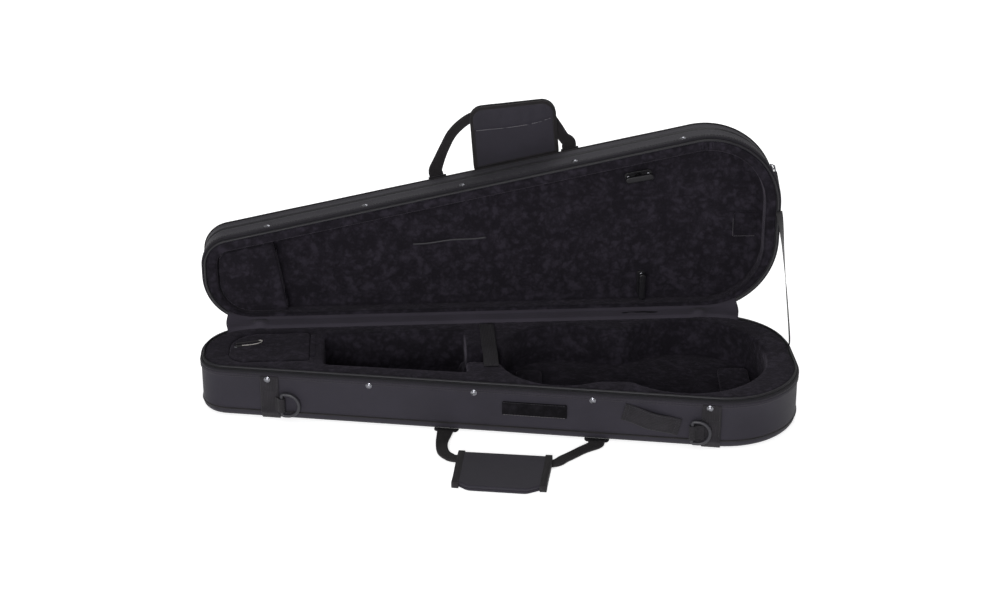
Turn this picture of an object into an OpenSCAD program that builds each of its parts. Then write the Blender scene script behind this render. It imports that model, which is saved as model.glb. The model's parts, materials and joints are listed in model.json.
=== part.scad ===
// Shaped violin case, standing open: a padded base and a lid joined along their straight back
// edges. Origin: centre of the base's footprint on the floor. +X runs to the wide end, +Y to
// the hinge and +Z up. All lengths are in millimetres.

/* [Case outline] */
// Overall length, narrow end to wide end
case_l = 800; // [780:5:820]
// Depth of the wide end, front to back
wide_w = 257; // [250:1:265]
// Depth of the narrow end
narrow_w = 126; // [124:1:130]
// Corner radius at the back of the narrow end
rear_left_r = 68; // [64:1:70]
// Corner radius at the front of the narrow end
front_left_r = 40; // [38:1:44]
// Corner radius of both corners of the wide end
wide_r = 103; // [98:1:108]

/* [Heights] */
// Height of the base, floor to the top of its zip
base_h = 74.5; // [73:0.5:76]
// Depth of the lid, rim to outer face
lid_d = 72; // [72:0.5:74]
// Angle through which the lid stands open
open_deg = 91.5; // [88:0.5:95]
// Gap between the two halves of the zip when closed
closed_gap = 1; // [0.8:0.1:2]

/* [Layers] */
// Thickness of the outer cover
cover_t = 1.2; // [1:0.1:1.5]
// Thickness of the foam shell's walls, cover included
wall_t = 10.5; // [10:0.5:11]
// Radius of the rounded bottom edge
bottom_r = 10; // [9:0.5:11]
// Radius of the piping at the base and lid rims
piping_r = 2.2; // [1.8:0.1:2.4]

/* [Hardware] */
// Radius of a domed rivet head
rivet_r = 4; // [3:0.5:4.5]
// Width of the webbing straps
webbing_w = 25; // [20:1:26]
// Radius of the D-rings' round bar
ring_bar_r = 2.4; // [2:0.1:2.5]
// Radius of the D-rings' bow, to the middle of the bar
ring_bow_r = 16; // [15:0.5:17]

/* [Hidden] */
$fn = 48;

cover_c = [0.13, 0.13, 0.15];
plush_c = [0.07, 0.07, 0.08];
web_c = [0.16, 0.14, 0.14];
metal_c = [0.55, 0.55, 0.58];
ring_c = [0.22, 0.22, 0.24];
foam_c = [0.3, 0.3, 0.32];

// Outline: four corner arcs, front-left first and then counter-clockwise, and their tangents
x_left = -case_l / 2;
x_right = case_l / 2;
y_back = wide_w / 2;
corner_r = [front_left_r, wide_r, wide_r, rear_left_r];
corner_p = [
    [x_left + front_left_r, y_back - narrow_w + front_left_r],
    [x_right - wide_r, wide_r - y_back],
    [x_right - wide_r, y_back - wide_r],
    [x_left + rear_left_r, y_back - rear_left_r]
];
front_v = corner_p[1] - corner_p[0];
front_l = sqrt(front_v * front_v - pow(wide_r - front_left_r, 2));
wall_deg = atan2(front_v[1], front_v[0]) - asin((wide_r - front_left_r) / norm(front_v));
corner_a = [180, wall_deg - 90, 0, 90];
corner_span = [90 + wall_deg, 90 - wall_deg, 90, 90];
side_l = [
    front_l, corner_p[2][1] - corner_p[1][1],
    corner_p[2][0] - corner_p[3][0], corner_p[3][1] - corner_p[0][1]
];
front_start = corner_p[0] + front_left_r * [sin(wall_deg), -cos(wall_deg)];
function front_y(x) = front_start[1] + (x - front_start[0]) * tan(wall_deg);

// The hinge line, about which the lid closes onto the base
pin_off = 3.4;
pin_y = y_back + pin_off;
pin_z = base_h - pin_off;
lid_z = base_h + closed_gap;

// Levels measured from each rim, shared by base and lid
coil_r = 1.9;
coil_u = -3.9;
piping_u = -0.9;
piping_d = 6.1;
cover_d = 8.5;
ledge_u = -4.7;
ledge_d = 15;
lining_u = -6;
lining_d = 3;
foam_d = 4.5;
foam_u = -2.4;

// Levels inside the base
floor_z = 10;
bed_z = 20;
bed_top = base_h - foam_d;
lining_top = base_h - lining_d;
well_z = 14;
neck_z = 38;
bed_blocks = [[x_left, -246], [-245.8, -42], [-41.8, x_right]];

// The violin's place in the bed: its end button and the direction of its neck
button_p = [360, -2];
violin_deg = 175.9;

// Accessory compartment
tray_lo = [-356, 28];
tray_hi = [-258, 100];
board_lo = [-362, 22];
board_hi = [-254, 106];
board_t = 5;

// Levels inside the lid
recess_d = 31;
shell_floor_d = 34;
shell_d = 40;
zip_lower_d = 39.1;
zip_upper_d = 42.2;
pocket_coil_r = 1.3;
pocket_coil_u = -0.7;
gusset_d = 44.1;
pocket_piping_d = lid_d - 10;
panel_r = 8;
panel_t = 3;
recess_inset = 12.5;
pad_x = -285;
pad_y = 112;
pad_slant = 0.17;

// Fittings on the front wall
rivet_x = [-309, -174, -36, 118, 268];
lid_rivet_x = [-309, -174, -40, 114, 262];
rivet_depth = 14.5;
web_t = 2;
web_left_x = -306.5;
web_right_x = 270.5;
web_z = [14.2, 66];
bar_out = 5;
ring_z = 24.6;
ring_leg = 7.3;
loop_r = 3.9;
loop_h = 21;
bar_left_x = web_left_x + webbing_w / 2 + 4;
bar_right_x = 246.7;

// Bow spinners: pivots, and the direction in which each bar lies
spinner_rear_p = [211.5, 95.3];
spinner_front_p = [204, -67];
spinner_front_deg = wall_deg + 2;
spinner_top_d = 11;
spinner_bar_t = 5;
post_r = 4;
plate_t = 3;

// Base handle: route of the strap on the floor, its half widths, and the grip
handle_z = [1.2, 5.2];
tab_left_x = -73;
tab_right_x = 124;
tab_w = 32;
tab_in = 5;
tab_out = 3.4;
base_grip_p = [-6, -180];
base_grip_deg = -9.5;
base_grip_size = [122, 88];
base_route = [
    [-74, -61.5], [-76, -72], [-80, -96], [-79, -118], [-72, -131], [-60, -138],
    [58, -158], [78, -145], [102, -125], [120.9, -111.3], [123, -101.5]
];
base_half_w = [16, 11, 8, 8, 8, 8, 8, 8, 8, 11, 16];

// Lid handle, in the plan of the closed lid
lid_handle_d = 80;
lid_handle_t = 4;
lid_handle_in = 2;
lid_route = [
    [-74, -55.5], [-75, -62], [-70, -76], [-62, -95], [-50, -117], [-30, -135], [-10, -142],
    [30, -146], [62, -148], [82, -140], [95, -123], [104, -107], [111.6, -99.5], [113, -92.5]
];
lid_half_w = [11, 10, 8, 7, 7, 7, 7, 7, 7, 7, 7, 8, 10, 11];
flap_top = [[-27, -152], [91, -162]];
flap_bottom_x = [-20.5, 97];
flap_in = 5;
flap_t = 3.1;

// Pocket slider on the wide front corner
slider_deg = -25;
slider_span = 5.6;
pull_deg = 12;
pull_l = 41;
main_pull_l = 22;
main_slider_x = [-324, 289];
slider_pin_y = y_back + 3.2;
slider_pin_z = base_h + 0.5;

// ---------------------------------------------------------------- helpers

// A profile (x outward from the outline, y up) swept round one corner arc
module corner_sweep(k) {
    translate(corner_p[k]) rotate([0, 0, corner_a[k]])
        rotate_extrude(angle = corner_span[k], $fn = 72) translate([corner_r[k], 0]) children();
}

// The same profile along the straight side that follows corner k
module side_sweep(k) {
    j = (k + 1) % 4;
    translate(corner_p[j]) rotate([90, 0, corner_a[j]])
        linear_extrude(side_l[k]) translate([corner_r[j], 0]) children();
}

// All the way round the outline
module sweep_round() {
    for (k = [0 : 3]) {
        corner_sweep(k) children();
        side_sweep(k) children();
    }
}

// Round the outline but for its straight back, as the zips run
module sweep_zip() {
    for (k = [0 : 3]) corner_sweep(k) children();
    for (k = [0, 1, 3]) side_sweep(k) children();
}

// The outline moved outward by off, its arcs in short chords
function outline(off, n) = [
    for (k = [0 : 3])
        each arc(corner_p[k], corner_r[k] + off, corner_a[k], corner_a[k] + corner_span[k], n)
];

// A flat plate filling that outline from z0 up to z1
module plate(off, z0, z1, n = 16) {
    translate([0, 0, z0]) linear_extrude(z1 - z0) polygon(outline(off, n));
}

// The band between two such outlines
module band(off_in, off_out, z0, z1) {
    translate([0, 0, z0]) linear_extrude(z1 - z0) difference() {
        polygon(outline(off_out, 16));
        polygon(outline(off_in, 16));
    }
}

// A solid dish whose edge is rounded by a quarter circle: its outer radius is r, and inset
// moves the surface inward
module dish(r, inset) {
    steps = 4;
    hull() for (i = [0 : steps]) {
        a = 90 * i / steps;
        z = r - (r - inset) * cos(a);
        plate((r - inset) * sin(a) - r, z, z + 0.01, 8);
    }
}

// The same dish hollowed to thickness t, open at its rim
module shell_dish(r, t) {
    difference() {
        dish(r, 0);
        translate([0, 0, 0.02]) dish(r, t);
    }
}

function unit(a) = [cos(a), sin(a)];
function arc(c, r, a0, a1, n = 6) = [for (i = [0 : n]) c + r * unit(a0 + (a1 - a0) * i / n)];

// Outline of a flat strap along a route, from its half width at each point
function heading(p, i) =
    let (a = p[max(i - 1, 0)], b = p[min(i + 1, len(p) - 1)]) (b - a) / norm(b - a);
function side_point(p, w, i, s) = p[i] + s * w[i] * [-heading(p, i)[1], heading(p, i)[0]];
function strap_outline(p, w) = concat(
    [for (i = [0 : len(p) - 1]) side_point(p, w, i, 1)],
    [for (i = [len(p) - 1 : -1 : 0]) side_point(p, w, i, -1)]
);

// A local frame on the front wall: X along the wall, -Y outward, Z up
module on_front(x, z = 0) {
    translate([x, front_y(x), z]) rotate([0, 0, wall_deg]) children();
}

// The closed lid's plan (x, y, depth from the rim), carried to where the open lid stands
module on_lid() {
    translate([0, pin_y, pin_z]) rotate([-open_deg, 0, 0])
        translate([0, -pin_y, lid_z - pin_z]) children();
}

// A rim profile given by its depth from the rim, turned to the base's height
module base_side() {
    translate([0, base_h]) mirror([0, 1]) children();
}

module box(lo, hi) {
    translate(lo) cube(hi - lo);
}

module rounded_slab(lo, hi, z0, z1, r) {
    translate([0, 0, z0]) linear_extrude(z1 - z0) polygon(concat(
        arc([hi[0] - r, hi[1] - r], r, 0, 90), arc([lo[0] + r, hi[1] - r], r, 90, 180),
        arc([lo[0] + r, lo[1] + r], r, 180, 270), arc([hi[0] - r, lo[1] + r], r, 270, 360)
    ));
}

// ---------------------------------------------------------------- rims

module rim_coil_profile() {
    translate([coil_u, coil_r]) circle(coil_r);
    translate([coil_u - 0.5, coil_r]) square([1, ledge_d - 0.5 - coil_r]);
}

module piping_profile() {
    translate([piping_u, piping_d]) circle(piping_r);
}

// ---------------------------------------------------------------- base, outside

module base_bottom_cover() {
    color(cover_c) shell_dish(bottom_r, cover_t);
}

module base_bottom_piping() {
    color(web_c) sweep_round() translate([-0.3, bottom_r + 2]) circle(1.8);
}

module base_side_cover() {
    color(cover_c) sweep_round()
        translate([-cover_t, bottom_r + 4]) square([cover_t, base_h - cover_d - bottom_r - 4]);
}

module base_shell() {
    step_z = 4.5;
    color(foam_c) {
        plate(-bottom_r - 1, cover_t + 0.3, step_z + 1);
        plate(-bottom_r / 2, step_z, floor_z);
        band(-wall_t, foam_u, floor_z - 0.5, base_h - ledge_d);
        band(-wall_t, ledge_u, base_h - ledge_d, bed_top);
    }
}

module base_rim_piping() {
    color(web_c) sweep_round() base_side() piping_profile();
}

module base_zip() {
    color(web_c) sweep_zip() base_side() rim_coil_profile();
}

// ---------------------------------------------------------------- base, inside

// The violin's hollow: two bouts and the waist between them, and the channel for its neck
module body_hollow(grow = 0) {
    translate(button_p) rotate(violin_deg) {
        translate([105, 0]) circle(108 + grow, $fn = 96);
        translate([272, 0]) circle(88 + grow, $fn = 96);
        translate([130, -76 - grow]) square([120, 2 * (76 + grow)]);
    }
}

module neck_channel() {
    translate(button_p) rotate(violin_deg) translate([340, -21]) square([80, 42]);
}

module scroll_well() {
    polygon([[-235, 10], [-42, -25], [-42, 98], [-235, 98]]);
}

module bed_cuts(z1) {
    translate([0, 0, bed_z]) linear_extrude(z1 - bed_z) body_hollow();
    translate([0, 0, neck_z]) linear_extrude(z1 - neck_z) neck_channel();
    translate([0, 0, well_z]) linear_extrude(z1 - well_z) scroll_well();
    box([tray_lo[0], tray_lo[1], floor_z - 1], [tray_hi[0], tray_hi[1], z1]);
    rounded_slab(board_lo - [0.5, 0.5], board_hi + [0.5, 0.5],
        lining_top - board_t - 0.3, z1, 16.5);
}

// Three foam blocks side by side: round the tray, the scroll and the body
module violin_bed() {
    color(foam_c) for (block = bed_blocks) intersection() {
        difference() {
            plate(-wall_t, floor_z, bed_top);
            bed_cuts(bed_top + 1);
        }
        box([block[0], -y_back, 0], [block[1], y_back, base_h]);
    }
}

module bed_top_lining() {
    color(plush_c) difference() {
        plate(lining_u, bed_top, lining_top);
        bed_cuts(lining_top + 1);
    }
}

module lower_pad() {
    color(plush_c) translate(button_p) rotate(violin_deg)
        box([16, -50, bed_z], [58, 50, bed_z + 9]);
}

module upper_pad() {
    color(plush_c) translate(button_p) rotate(violin_deg)
        box([300, -40, bed_z], [336, 40, bed_z + 9]);
}

module accessory_tray() {
    wall = 3;
    color(plush_c) difference() {
        box([tray_lo[0], tray_lo[1], floor_z], [tray_hi[0], tray_hi[1], lining_top - board_t - 1]);
        box([tray_lo[0] + wall, tray_lo[1] + wall, floor_z + wall],
            [tray_hi[0] - wall, tray_hi[1] - wall, base_h]);
    }
}

module accessory_hinge_strip() {
    color(plush_c) box([board_hi[0] + 0.8, board_lo[1] + 8, lining_top],
        [board_hi[0] + 8, board_hi[1] - 8, lining_top + 0.6]);
}

module accessory_lid() {
    color(plush_c) rounded_slab(board_lo, board_hi, lining_top - board_t, lining_top, 16);
}

module pull_ribbon_rivet() {
    color(metal_c) translate([-354, 66, lining_top]) cylinder(h = 1.4, r = 2.6);
}

// A narrow satin ribbon standing on its edge: out to the right and back to its rivet
module pull_ribbon() {
    color(web_c) translate([-350, 66, lining_top + 0.3]) rotate([0, 0, 14])
        linear_extrude(2.6) difference() {
            union() {
                square([30, 8]);
                translate([30, 4]) circle(4);
            }
            translate([0.8, 0.8]) square([29.2, 6.4]);
            translate([30, 4]) circle(3.2);
        }
}

module neck_strap() {
    color(web_c) box([-20, -14, lining_top + 1.5], [0, 114, lining_top + 3]);
}

module strap_patch() {
    color(web_c) box([-20, -15, lining_top], [0, 3, lining_top + 1.2]);
}

// ---------------------------------------------------------------- fittings on the front wall

// A domed rivet head standing on the wall, its axis along -Y
module rivet(out) {
    translate([0, -out, 0]) rotate([90, 0, 0]) rotate_extrude() intersection() {
        translate([0, 2 - rivet_r * 1.4]) circle(rivet_r * 1.4);
        square([rivet_r, 3]);
    }
}

module base_rivets() {
    color(metal_c) for (i = [0 : 4])
        on_front(rivet_x[i], base_h - rivet_depth) rivet(i == 0 || i == 4 ? web_t : 0);
}

module lid_rivets() {
    color(metal_c) on_lid() for (x = lid_rivet_x) on_front(x, rivet_depth) rivet(0);
}

module ring_web(x) {
    on_front(x) box([-webbing_w / 2, -web_t, web_z[0]], [webbing_w / 2, 0, web_z[1]]);
}

module ring_web_left() {
    color(web_c) ring_web(web_left_x);
}

module ring_web_right() {
    color(web_c) ring_web(web_right_x);
}

// Short webbing loop round the ring's bar; its tail runs back to the upright web
module ring_loop(x, tail) {
    on_front(x, ring_z - loop_h / 2) difference() {
        union() {
            translate([0, -bar_out, 0]) cylinder(h = loop_h, r = loop_r);
            box([min(tail, 0), -bar_out + 1, 0], [max(tail, 0), -bar_out + loop_r, loop_h]);
        }
        translate([0, -bar_out, -1]) cylinder(h = loop_h + 2, r = ring_bar_r + 0.3);
    }
}

module ring_loop_left() {
    color(web_c) ring_loop(bar_left_x, -loop_r - 0.2);
}

module ring_loop_right() {
    color(web_c) ring_loop(bar_right_x, web_right_x - webbing_w / 2 - bar_right_x - 0.3);
}

// D-shaped ring: upright bar, two legs and a half-round bow
module d_ring(x) {
    on_front(x, ring_z) translate([0, -bar_out, 0]) {
        translate([0, 0, -ring_bow_r - ring_bar_r])
            cylinder(h = 2 * (ring_bow_r + ring_bar_r), r = ring_bar_r);
        for (s = [-1, 1])
            translate([0, 0, s * ring_bow_r]) rotate([0, 90, 0]) cylinder(h = ring_leg, r = ring_bar_r - 0.1);
        translate([ring_leg, 0, 0]) rotate([90, 0, 0]) rotate([0, 0, -90])
            rotate_extrude(angle = 180) translate([ring_bow_r, 0]) circle(ring_bar_r - 0.1);
    }
}

module d_ring_left() {
    color(ring_c) d_ring(bar_left_x);
}

module d_ring_right() {
    color(ring_c) d_ring(bar_right_x);
}

// Webbing grip bowed away from the wall between its two stitched ends
module side_grip() {
    rise = 6;
    half = 30;
    r = (half * half + rise * rise) / (2 * rise);
    a = asin(half / r);
    end = half + 8;
    color(web_c) on_front(194, 38) rotate([0, 14, 0])
        translate([0, 0, -webbing_w / 2]) linear_extrude(webbing_w) polygon(concat(
            [[-end, 0], [-end, -web_t], [-half, -web_t]],
            arc([0, r - rise - web_t], r, 270 - a, 270 + a, 16),
            [[half, -web_t], [end, -web_t], [end, 0], [half, 0]],
            arc([0, r - rise], r, 270 + a, 270 - a, 16)
        ));
}

module hook_patch() {
    color(web_c) on_front(43, 40) box([-43, -web_t, -10], [43, 0, 10]);
}

// ---------------------------------------------------------------- base handle

module base_handle_tabs() {
    color(web_c) for (x = [tab_left_x, tab_right_x])
        on_front(x) box([-tab_w / 2, -tab_out, 0.05], [tab_w / 2, tab_in, 0.85]);
}

module base_handle_strap() {
    color(web_c) translate([0, 0, handle_z[0]])
        linear_extrude(handle_z[1] - handle_z[0]) polygon(strap_outline(base_route, base_half_w));
}

// Padded wrap folded over the strap: two sheets joined by a fold behind the strap
module base_handle_grip() {
    w = base_grip_size[0] / 2;
    h = base_grip_size[1] / 2;
    color(cover_c) difference() {
        translate([each base_grip_p, 0]) rotate([0, 0, base_grip_deg])
            rounded_slab([-w, -h], [w, h], 0.1, 10, 7);
        translate([0, 0, handle_z[0] - 0.3]) linear_extrude(handle_z[1] - handle_z[0] + 0.6)
            polygon(strap_outline(base_route, base_half_w + [for (v = base_half_w) 0.4]));
    }
}

// ---------------------------------------------------------------- main zip sliders, hinge, stay

module main_slider(x) {
    color(metal_c) {
        box([x - 6, 121.5, base_h - 2.4], [x + 6, 129.2, base_h + 3.4]);
        difference() {
            box([x - 2.2, 129.2, base_h - 2], [x + 2.2, slider_pin_y + 2, base_h + 2.8]);
            translate([x - 3, slider_pin_y, slider_pin_z]) rotate([0, 90, 0]) cylinder(h = 6, r = 1.1);
        }
    }
}

// Flat pull with an eye that hangs on the slider's bridge
module main_pull(x) {
    color(metal_c) translate([x, slider_pin_y, slider_pin_z]) {
        translate([-2.7 - 1.4, 0, 0]) rotate([0, 90, 0]) cylinder(h = 8.2, r = 0.9);
        for (s = [-1, 1])
            box([s * 3.4 - 0.8, -0.75, -6], [s * 3.4 + 0.8, 0.75, 0.5]);
        box([-4.2, -0.75, -main_pull_l], [4.2, 0.75, -5]);
    }
}

module main_slider_left() {
    main_slider(main_slider_x[0]);
}

module main_slider_right() {
    main_slider(main_slider_x[1]);
}

module main_pull_left() {
    main_pull(main_slider_x[0]);
}

module main_pull_right() {
    main_pull(main_slider_x[1]);
}

// Fabric bridge between the two back walls
module hinge_tape() {
    color(cover_c) box([main_slider_x[0] + 10, y_back + 1.6, pin_z - 0.1],
        [main_slider_x[1] - 10, y_back + 11.4, pin_z + 1.5]);
}

// Stay between the lid's rim and the base's rim at the wide end
module stay_ribbon() {
    foot = [25, base_h + 1];
    head = [138.5, 219];
    run = head - foot;
    color(web_c) translate([384, foot[0], foot[1]]) rotate([atan2(run[1], run[0]), 0, 0])
        cube([14, norm(run), 0.8]);
}

// ---------------------------------------------------------------- lid

module lid_shell() {
    color(foam_c) on_lid() {
        band(-wall_t, ledge_u, foam_d, ledge_d);
        band(-wall_t, foam_u, ledge_d, shell_d);
        plate(-wall_t + 2, shell_floor_d, shell_d);
    }
}

module lid_side_cover() {
    color(cover_c) on_lid() sweep_round()
        translate([-cover_t, cover_d]) square([cover_t, zip_lower_d - 1.5 - cover_d]);
}

module lid_rim_piping() {
    color(web_c) on_lid() sweep_round() piping_profile();
}

module lid_zip() {
    color(web_c) on_lid() sweep_zip() rim_coil_profile();
}

module lid_border() {
    color(plush_c) on_lid() {
        band(-recess_inset, lining_u, lining_d, foam_d);
        band(-recess_inset, -wall_t, foam_d, shell_floor_d);
    }
}

module lid_floor_lining() {
    color(plush_c) on_lid() plate(-recess_inset - 0.1, recess_d, shell_floor_d);
}

function pad_edge(y) = pad_x + (y - pad_y) * pad_slant;

// Raised pad over the narrow end, with two pockets for the bows' tips
module bow_tip_pad() {
    color(plush_c) on_lid() difference() {
        intersection() {
            plate(-recess_inset - 0.1, 6, recess_d);
            linear_extrude(lid_d) polygon([
                [x_left, -y_back], [pad_edge(-y_back), -y_back],
                [pad_edge(y_back), y_back], [x_left, y_back]
            ]);
        }
        for (y = [86, 14]) box([pad_x - 45, y, 12], [pad_x + 1, y + 17, 25]);
    }
}

module on_spinner(rear) {
    on_lid() translate([each (rear ? spinner_rear_p : spinner_front_p), 0])
        rotate([0, 0, rear ? 90 : spinner_front_deg]) children();
}

module spinner_plates() {
    color(ring_c) for (rear = [true, false]) on_spinner(rear) difference() {
        rounded_slab([-19, -6], [19, 6], recess_d - plate_t, recess_d, 5);
        translate([0, 0, recess_d - plate_t - 1]) cylinder(h = plate_t + 2, r = post_r + 0.08);
    }
}

module spinner_rivets() {
    color(metal_c) for (rear = [true, false], s = [-14, 14])
        on_spinner(rear) translate([s, 0, recess_d - plate_t - 1]) cylinder(h = 1, r = 2.2);
}

// Twist bar on a round post that turns in the plate
module bow_spinner(rear) {
    color(ring_c) on_spinner(rear) {
        rounded_slab([-20, -5], [20, 5], spinner_top_d, spinner_top_d + spinner_bar_t, 4.5);
        translate([0, 0, spinner_top_d + spinner_bar_t])
            cylinder(h = recess_d - 0.3 - spinner_top_d - spinner_bar_t, r = post_r);
    }
}

module bow_spinner_rear() {
    bow_spinner(true);
}

module bow_spinner_front() {
    bow_spinner(false);
}

module lid_patch() {
    color(plush_c) on_lid() rounded_slab([339, -8], [373, 28], recess_d - 1.2, recess_d, 4);
}

// ---------------------------------------------------------------- music pocket on the lid

module pocket_zip_lower() {
    color(web_c) on_lid() sweep_zip() {
        translate([pocket_coil_u, zip_lower_d]) circle(pocket_coil_r);
        translate([-cover_t, zip_lower_d - 1.5]) square([1, 1.5]);
    }
}

module pocket_zip_upper() {
    color(web_c) on_lid() sweep_zip() {
        translate([pocket_coil_u, zip_upper_d]) circle(pocket_coil_r);
        translate([-cover_t, zip_upper_d]) square([1, gusset_d - zip_upper_d]);
    }
}

module pocket_gusset() {
    color(cover_c) on_lid() sweep_round()
        translate([-cover_t, gusset_d]) square([cover_t, pocket_piping_d - 2 - gusset_d]);
}

module pocket_piping() {
    color(web_c) on_lid() sweep_round() translate([-0.3, pocket_piping_d]) circle(1.8);
}

module pocket_panel() {
    color(cover_c) on_lid() {
        translate([0, 0, lid_d]) mirror([0, 0, 1]) shell_dish(panel_r, panel_t);
    }
}

// Fabric hinge along the pocket's back edge
module pocket_hinge_strip() {
    color(cover_c) on_lid()
        box([corner_p[3][0] + 4, y_back - cover_t, zip_lower_d - 1.4],
            [corner_p[2][0] - 4, y_back, gusset_d - 0.1]);
}

module on_slider_arc() {
    on_lid() translate(corner_p[1]) rotate([0, 0, slider_deg]) children();
}

module pocket_slider() {
    color(metal_c) on_slider_arc() rotate([0, 0, -slider_span / 2]) {
        rotate_extrude(angle = slider_span, $fn = 96)
            translate([wide_r + 1, zip_lower_d - 2.5]) square([2, zip_upper_d - zip_lower_d + 5]);
        rotate([0, 0, slider_span * 0.2]) rotate_extrude(angle = slider_span * 0.2, $fn = 96)
            translate([wide_r + 3, zip_lower_d]) square([1.4, zip_upper_d - zip_lower_d]);
    }
}

// Place of the pull's pivot, with Y pointing down the hanging pull
module on_pull() {
    on_lid() translate(corner_p[1] + (wide_r + 6) * unit(slider_deg))
        translate([0, 0, (zip_lower_d + zip_upper_d) / 2]) rotate([0, 0, -pull_deg]) children();
}

module pocket_pull_ring() {
    color(metal_c) on_pull() difference() {
        rounded_slab([-1, -1.1], [1, 9], -3.4, 3.4, 0.5);
        box([-2, 0, -2], [2, 7, 2]);
    }
}

module pocket_pull_tab() {
    color(ring_c) on_pull() rounded_slab([-2.2, 9], [2.2, 9 + pull_l - 9], -4.5, 4.5, 1.5);
}

// ---------------------------------------------------------------- lid handle

// Stitched tabs that rise from the outer panel to the strap
module lid_handle_tabs() {
    color(web_c) on_lid() for (x = [tab_left_x, tab_right_x - 12])
        on_front(x) translate([-webbing_w / 2, 0, 0]) rotate([90, 0, 90]) linear_extrude(webbing_w)
            polygon([
                [lid_handle_in + 10, lid_d], [60, lid_d], [60, lid_d + 2],
                [26, lid_d + 2], [lid_handle_in + 10, lid_handle_d - 0.8],
                [lid_handle_in + 3, lid_handle_d - 0.8],
                [lid_handle_in + 3, lid_handle_d - 2.8]
            ]);
}

module lid_handle_strap() {
    color(web_c) on_lid() translate([0, 0, lid_handle_d - lid_handle_t / 2])
        linear_extrude(lid_handle_t) polygon(strap_outline(lid_route, lid_half_w));
}

// Padded wrap folded over the strap: two sheets and the fold above it
module lid_handle_grip() {
    r = 16;
    bottom = [for (x = flap_bottom_x) [x, front_y(x) + flap_in]];
    shape = concat(
        [bottom[1], bottom[0]],
        arc(flap_top[0] + [r, r - 2], r, 180, 268), arc(flap_top[1] + [-r, r], r, 266, 360)
    );
    gap = lid_handle_t / 2 + 0.3;
    color(cover_c) on_lid() translate([0, 0, lid_handle_d]) difference() {
        translate([0, 0, -gap - flap_t]) linear_extrude(2 * (gap + flap_t)) polygon(shape);
        translate([0, 0, -gap]) linear_extrude(2 * gap) difference() {
            translate([0, -130]) square([400, 260], center = true);
            polygon([[-40, -148.5], [-10, -150.5], [34, -154.3], [95, -158], [95, -175], [-40, -175]]);
        }
    }
}

base_bottom_cover();
base_bottom_piping();
base_side_cover();
base_shell();
base_rim_piping();
base_zip();
violin_bed();
bed_top_lining();
lower_pad();
upper_pad();
accessory_tray();
accessory_hinge_strip();
accessory_lid();
pull_ribbon_rivet();
pull_ribbon();
neck_strap();
strap_patch();
base_rivets();
ring_web_left();
ring_web_right();
ring_loop_left();
ring_loop_right();
d_ring_left();
d_ring_right();
side_grip();
hook_patch();
base_handle_tabs();
base_handle_strap();
base_handle_grip();
main_slider_left();
main_slider_right();
main_pull_left();
main_pull_right();
hinge_tape();
stay_ribbon();
lid_shell();
lid_side_cover();
lid_rim_piping();
lid_zip();
lid_border();
lid_floor_lining();
bow_tip_pad();
spinner_plates();
spinner_rivets();
bow_spinner_rear();
bow_spinner_front();
lid_patch();
lid_rivets();
pocket_zip_lower();
pocket_slider();
pocket_pull_ring();
pocket_pull_tab();
pocket_zip_upper();
pocket_gusset();
pocket_piping();
pocket_panel();
pocket_hinge_strip();
lid_handle_tabs();
lid_handle_strap();
lid_handle_grip();
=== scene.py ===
"""Looks of the violin case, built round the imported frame. Lengths are in metres."""
import json
import math

import bmesh
import bpy
import numpy as np
from mathutils import Matrix, Vector, geometry, noise


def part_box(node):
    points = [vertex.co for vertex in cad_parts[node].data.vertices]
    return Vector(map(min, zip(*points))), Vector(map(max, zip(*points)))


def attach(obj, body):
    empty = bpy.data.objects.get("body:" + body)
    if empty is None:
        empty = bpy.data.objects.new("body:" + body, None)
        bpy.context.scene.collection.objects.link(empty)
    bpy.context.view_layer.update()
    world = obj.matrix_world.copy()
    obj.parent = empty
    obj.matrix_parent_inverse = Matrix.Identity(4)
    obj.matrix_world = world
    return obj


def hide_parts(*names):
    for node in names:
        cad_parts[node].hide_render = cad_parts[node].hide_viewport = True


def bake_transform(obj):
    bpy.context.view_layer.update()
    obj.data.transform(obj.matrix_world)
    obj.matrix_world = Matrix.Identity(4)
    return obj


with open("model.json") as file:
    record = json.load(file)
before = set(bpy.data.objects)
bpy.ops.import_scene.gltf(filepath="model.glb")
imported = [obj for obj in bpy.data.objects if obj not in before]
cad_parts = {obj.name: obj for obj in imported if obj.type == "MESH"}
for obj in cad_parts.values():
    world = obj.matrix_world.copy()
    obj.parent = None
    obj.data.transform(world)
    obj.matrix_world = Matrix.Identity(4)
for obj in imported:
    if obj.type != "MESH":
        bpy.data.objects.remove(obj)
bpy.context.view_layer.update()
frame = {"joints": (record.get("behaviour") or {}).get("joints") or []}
MM = 0.001

# ------------------------------------------------------------------ driving values

joints = {j["name"]: j for j in frame["joints"]}
CASE_LO, CASE_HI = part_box("base_side_cover")
X_LEFT, X_RIGHT, Y_BACK = CASE_LO.x, CASE_HI.x, CASE_HI.y
PIN = Vector(joints["lid_hinge"]["pos_m"])
OPEN = -math.radians(joints["lid_hinge"]["range_deg"][0])
BASE_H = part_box("base_zip")[1].z
LID_GAP = 1 * MM
NARROW_W = 126 * MM
FRONT_LEFT_R, WIDE_R, REAR_LEFT_R = 40 * MM, 103 * MM, 68 * MM
LID_D = 72 * MM
PIPE_R = 2.2 * MM
COIL_R = 1.8 * MM
LINING_D = 3 * MM
RECESS_D = 31 * MM
WELD = 0.02 * MM
WALL_ROWS = 6

LID = (Matrix.Translation((0, PIN.y, PIN.z)) @ Matrix.Rotation(-OPEN, 4, "X")
       @ Matrix.Translation((0, -PIN.y, BASE_H + LID_GAP - PIN.z)))
BASE = Matrix.Identity(4)
BASE_RIM = Matrix.Translation((0, 0, BASE_H)) @ Matrix.Scale(-1, 4, (0, 0, 1))


# ------------------------------------------------------------------ paths in the plan

def unit(a):
    return np.array([math.cos(a), math.sin(a)])


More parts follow.
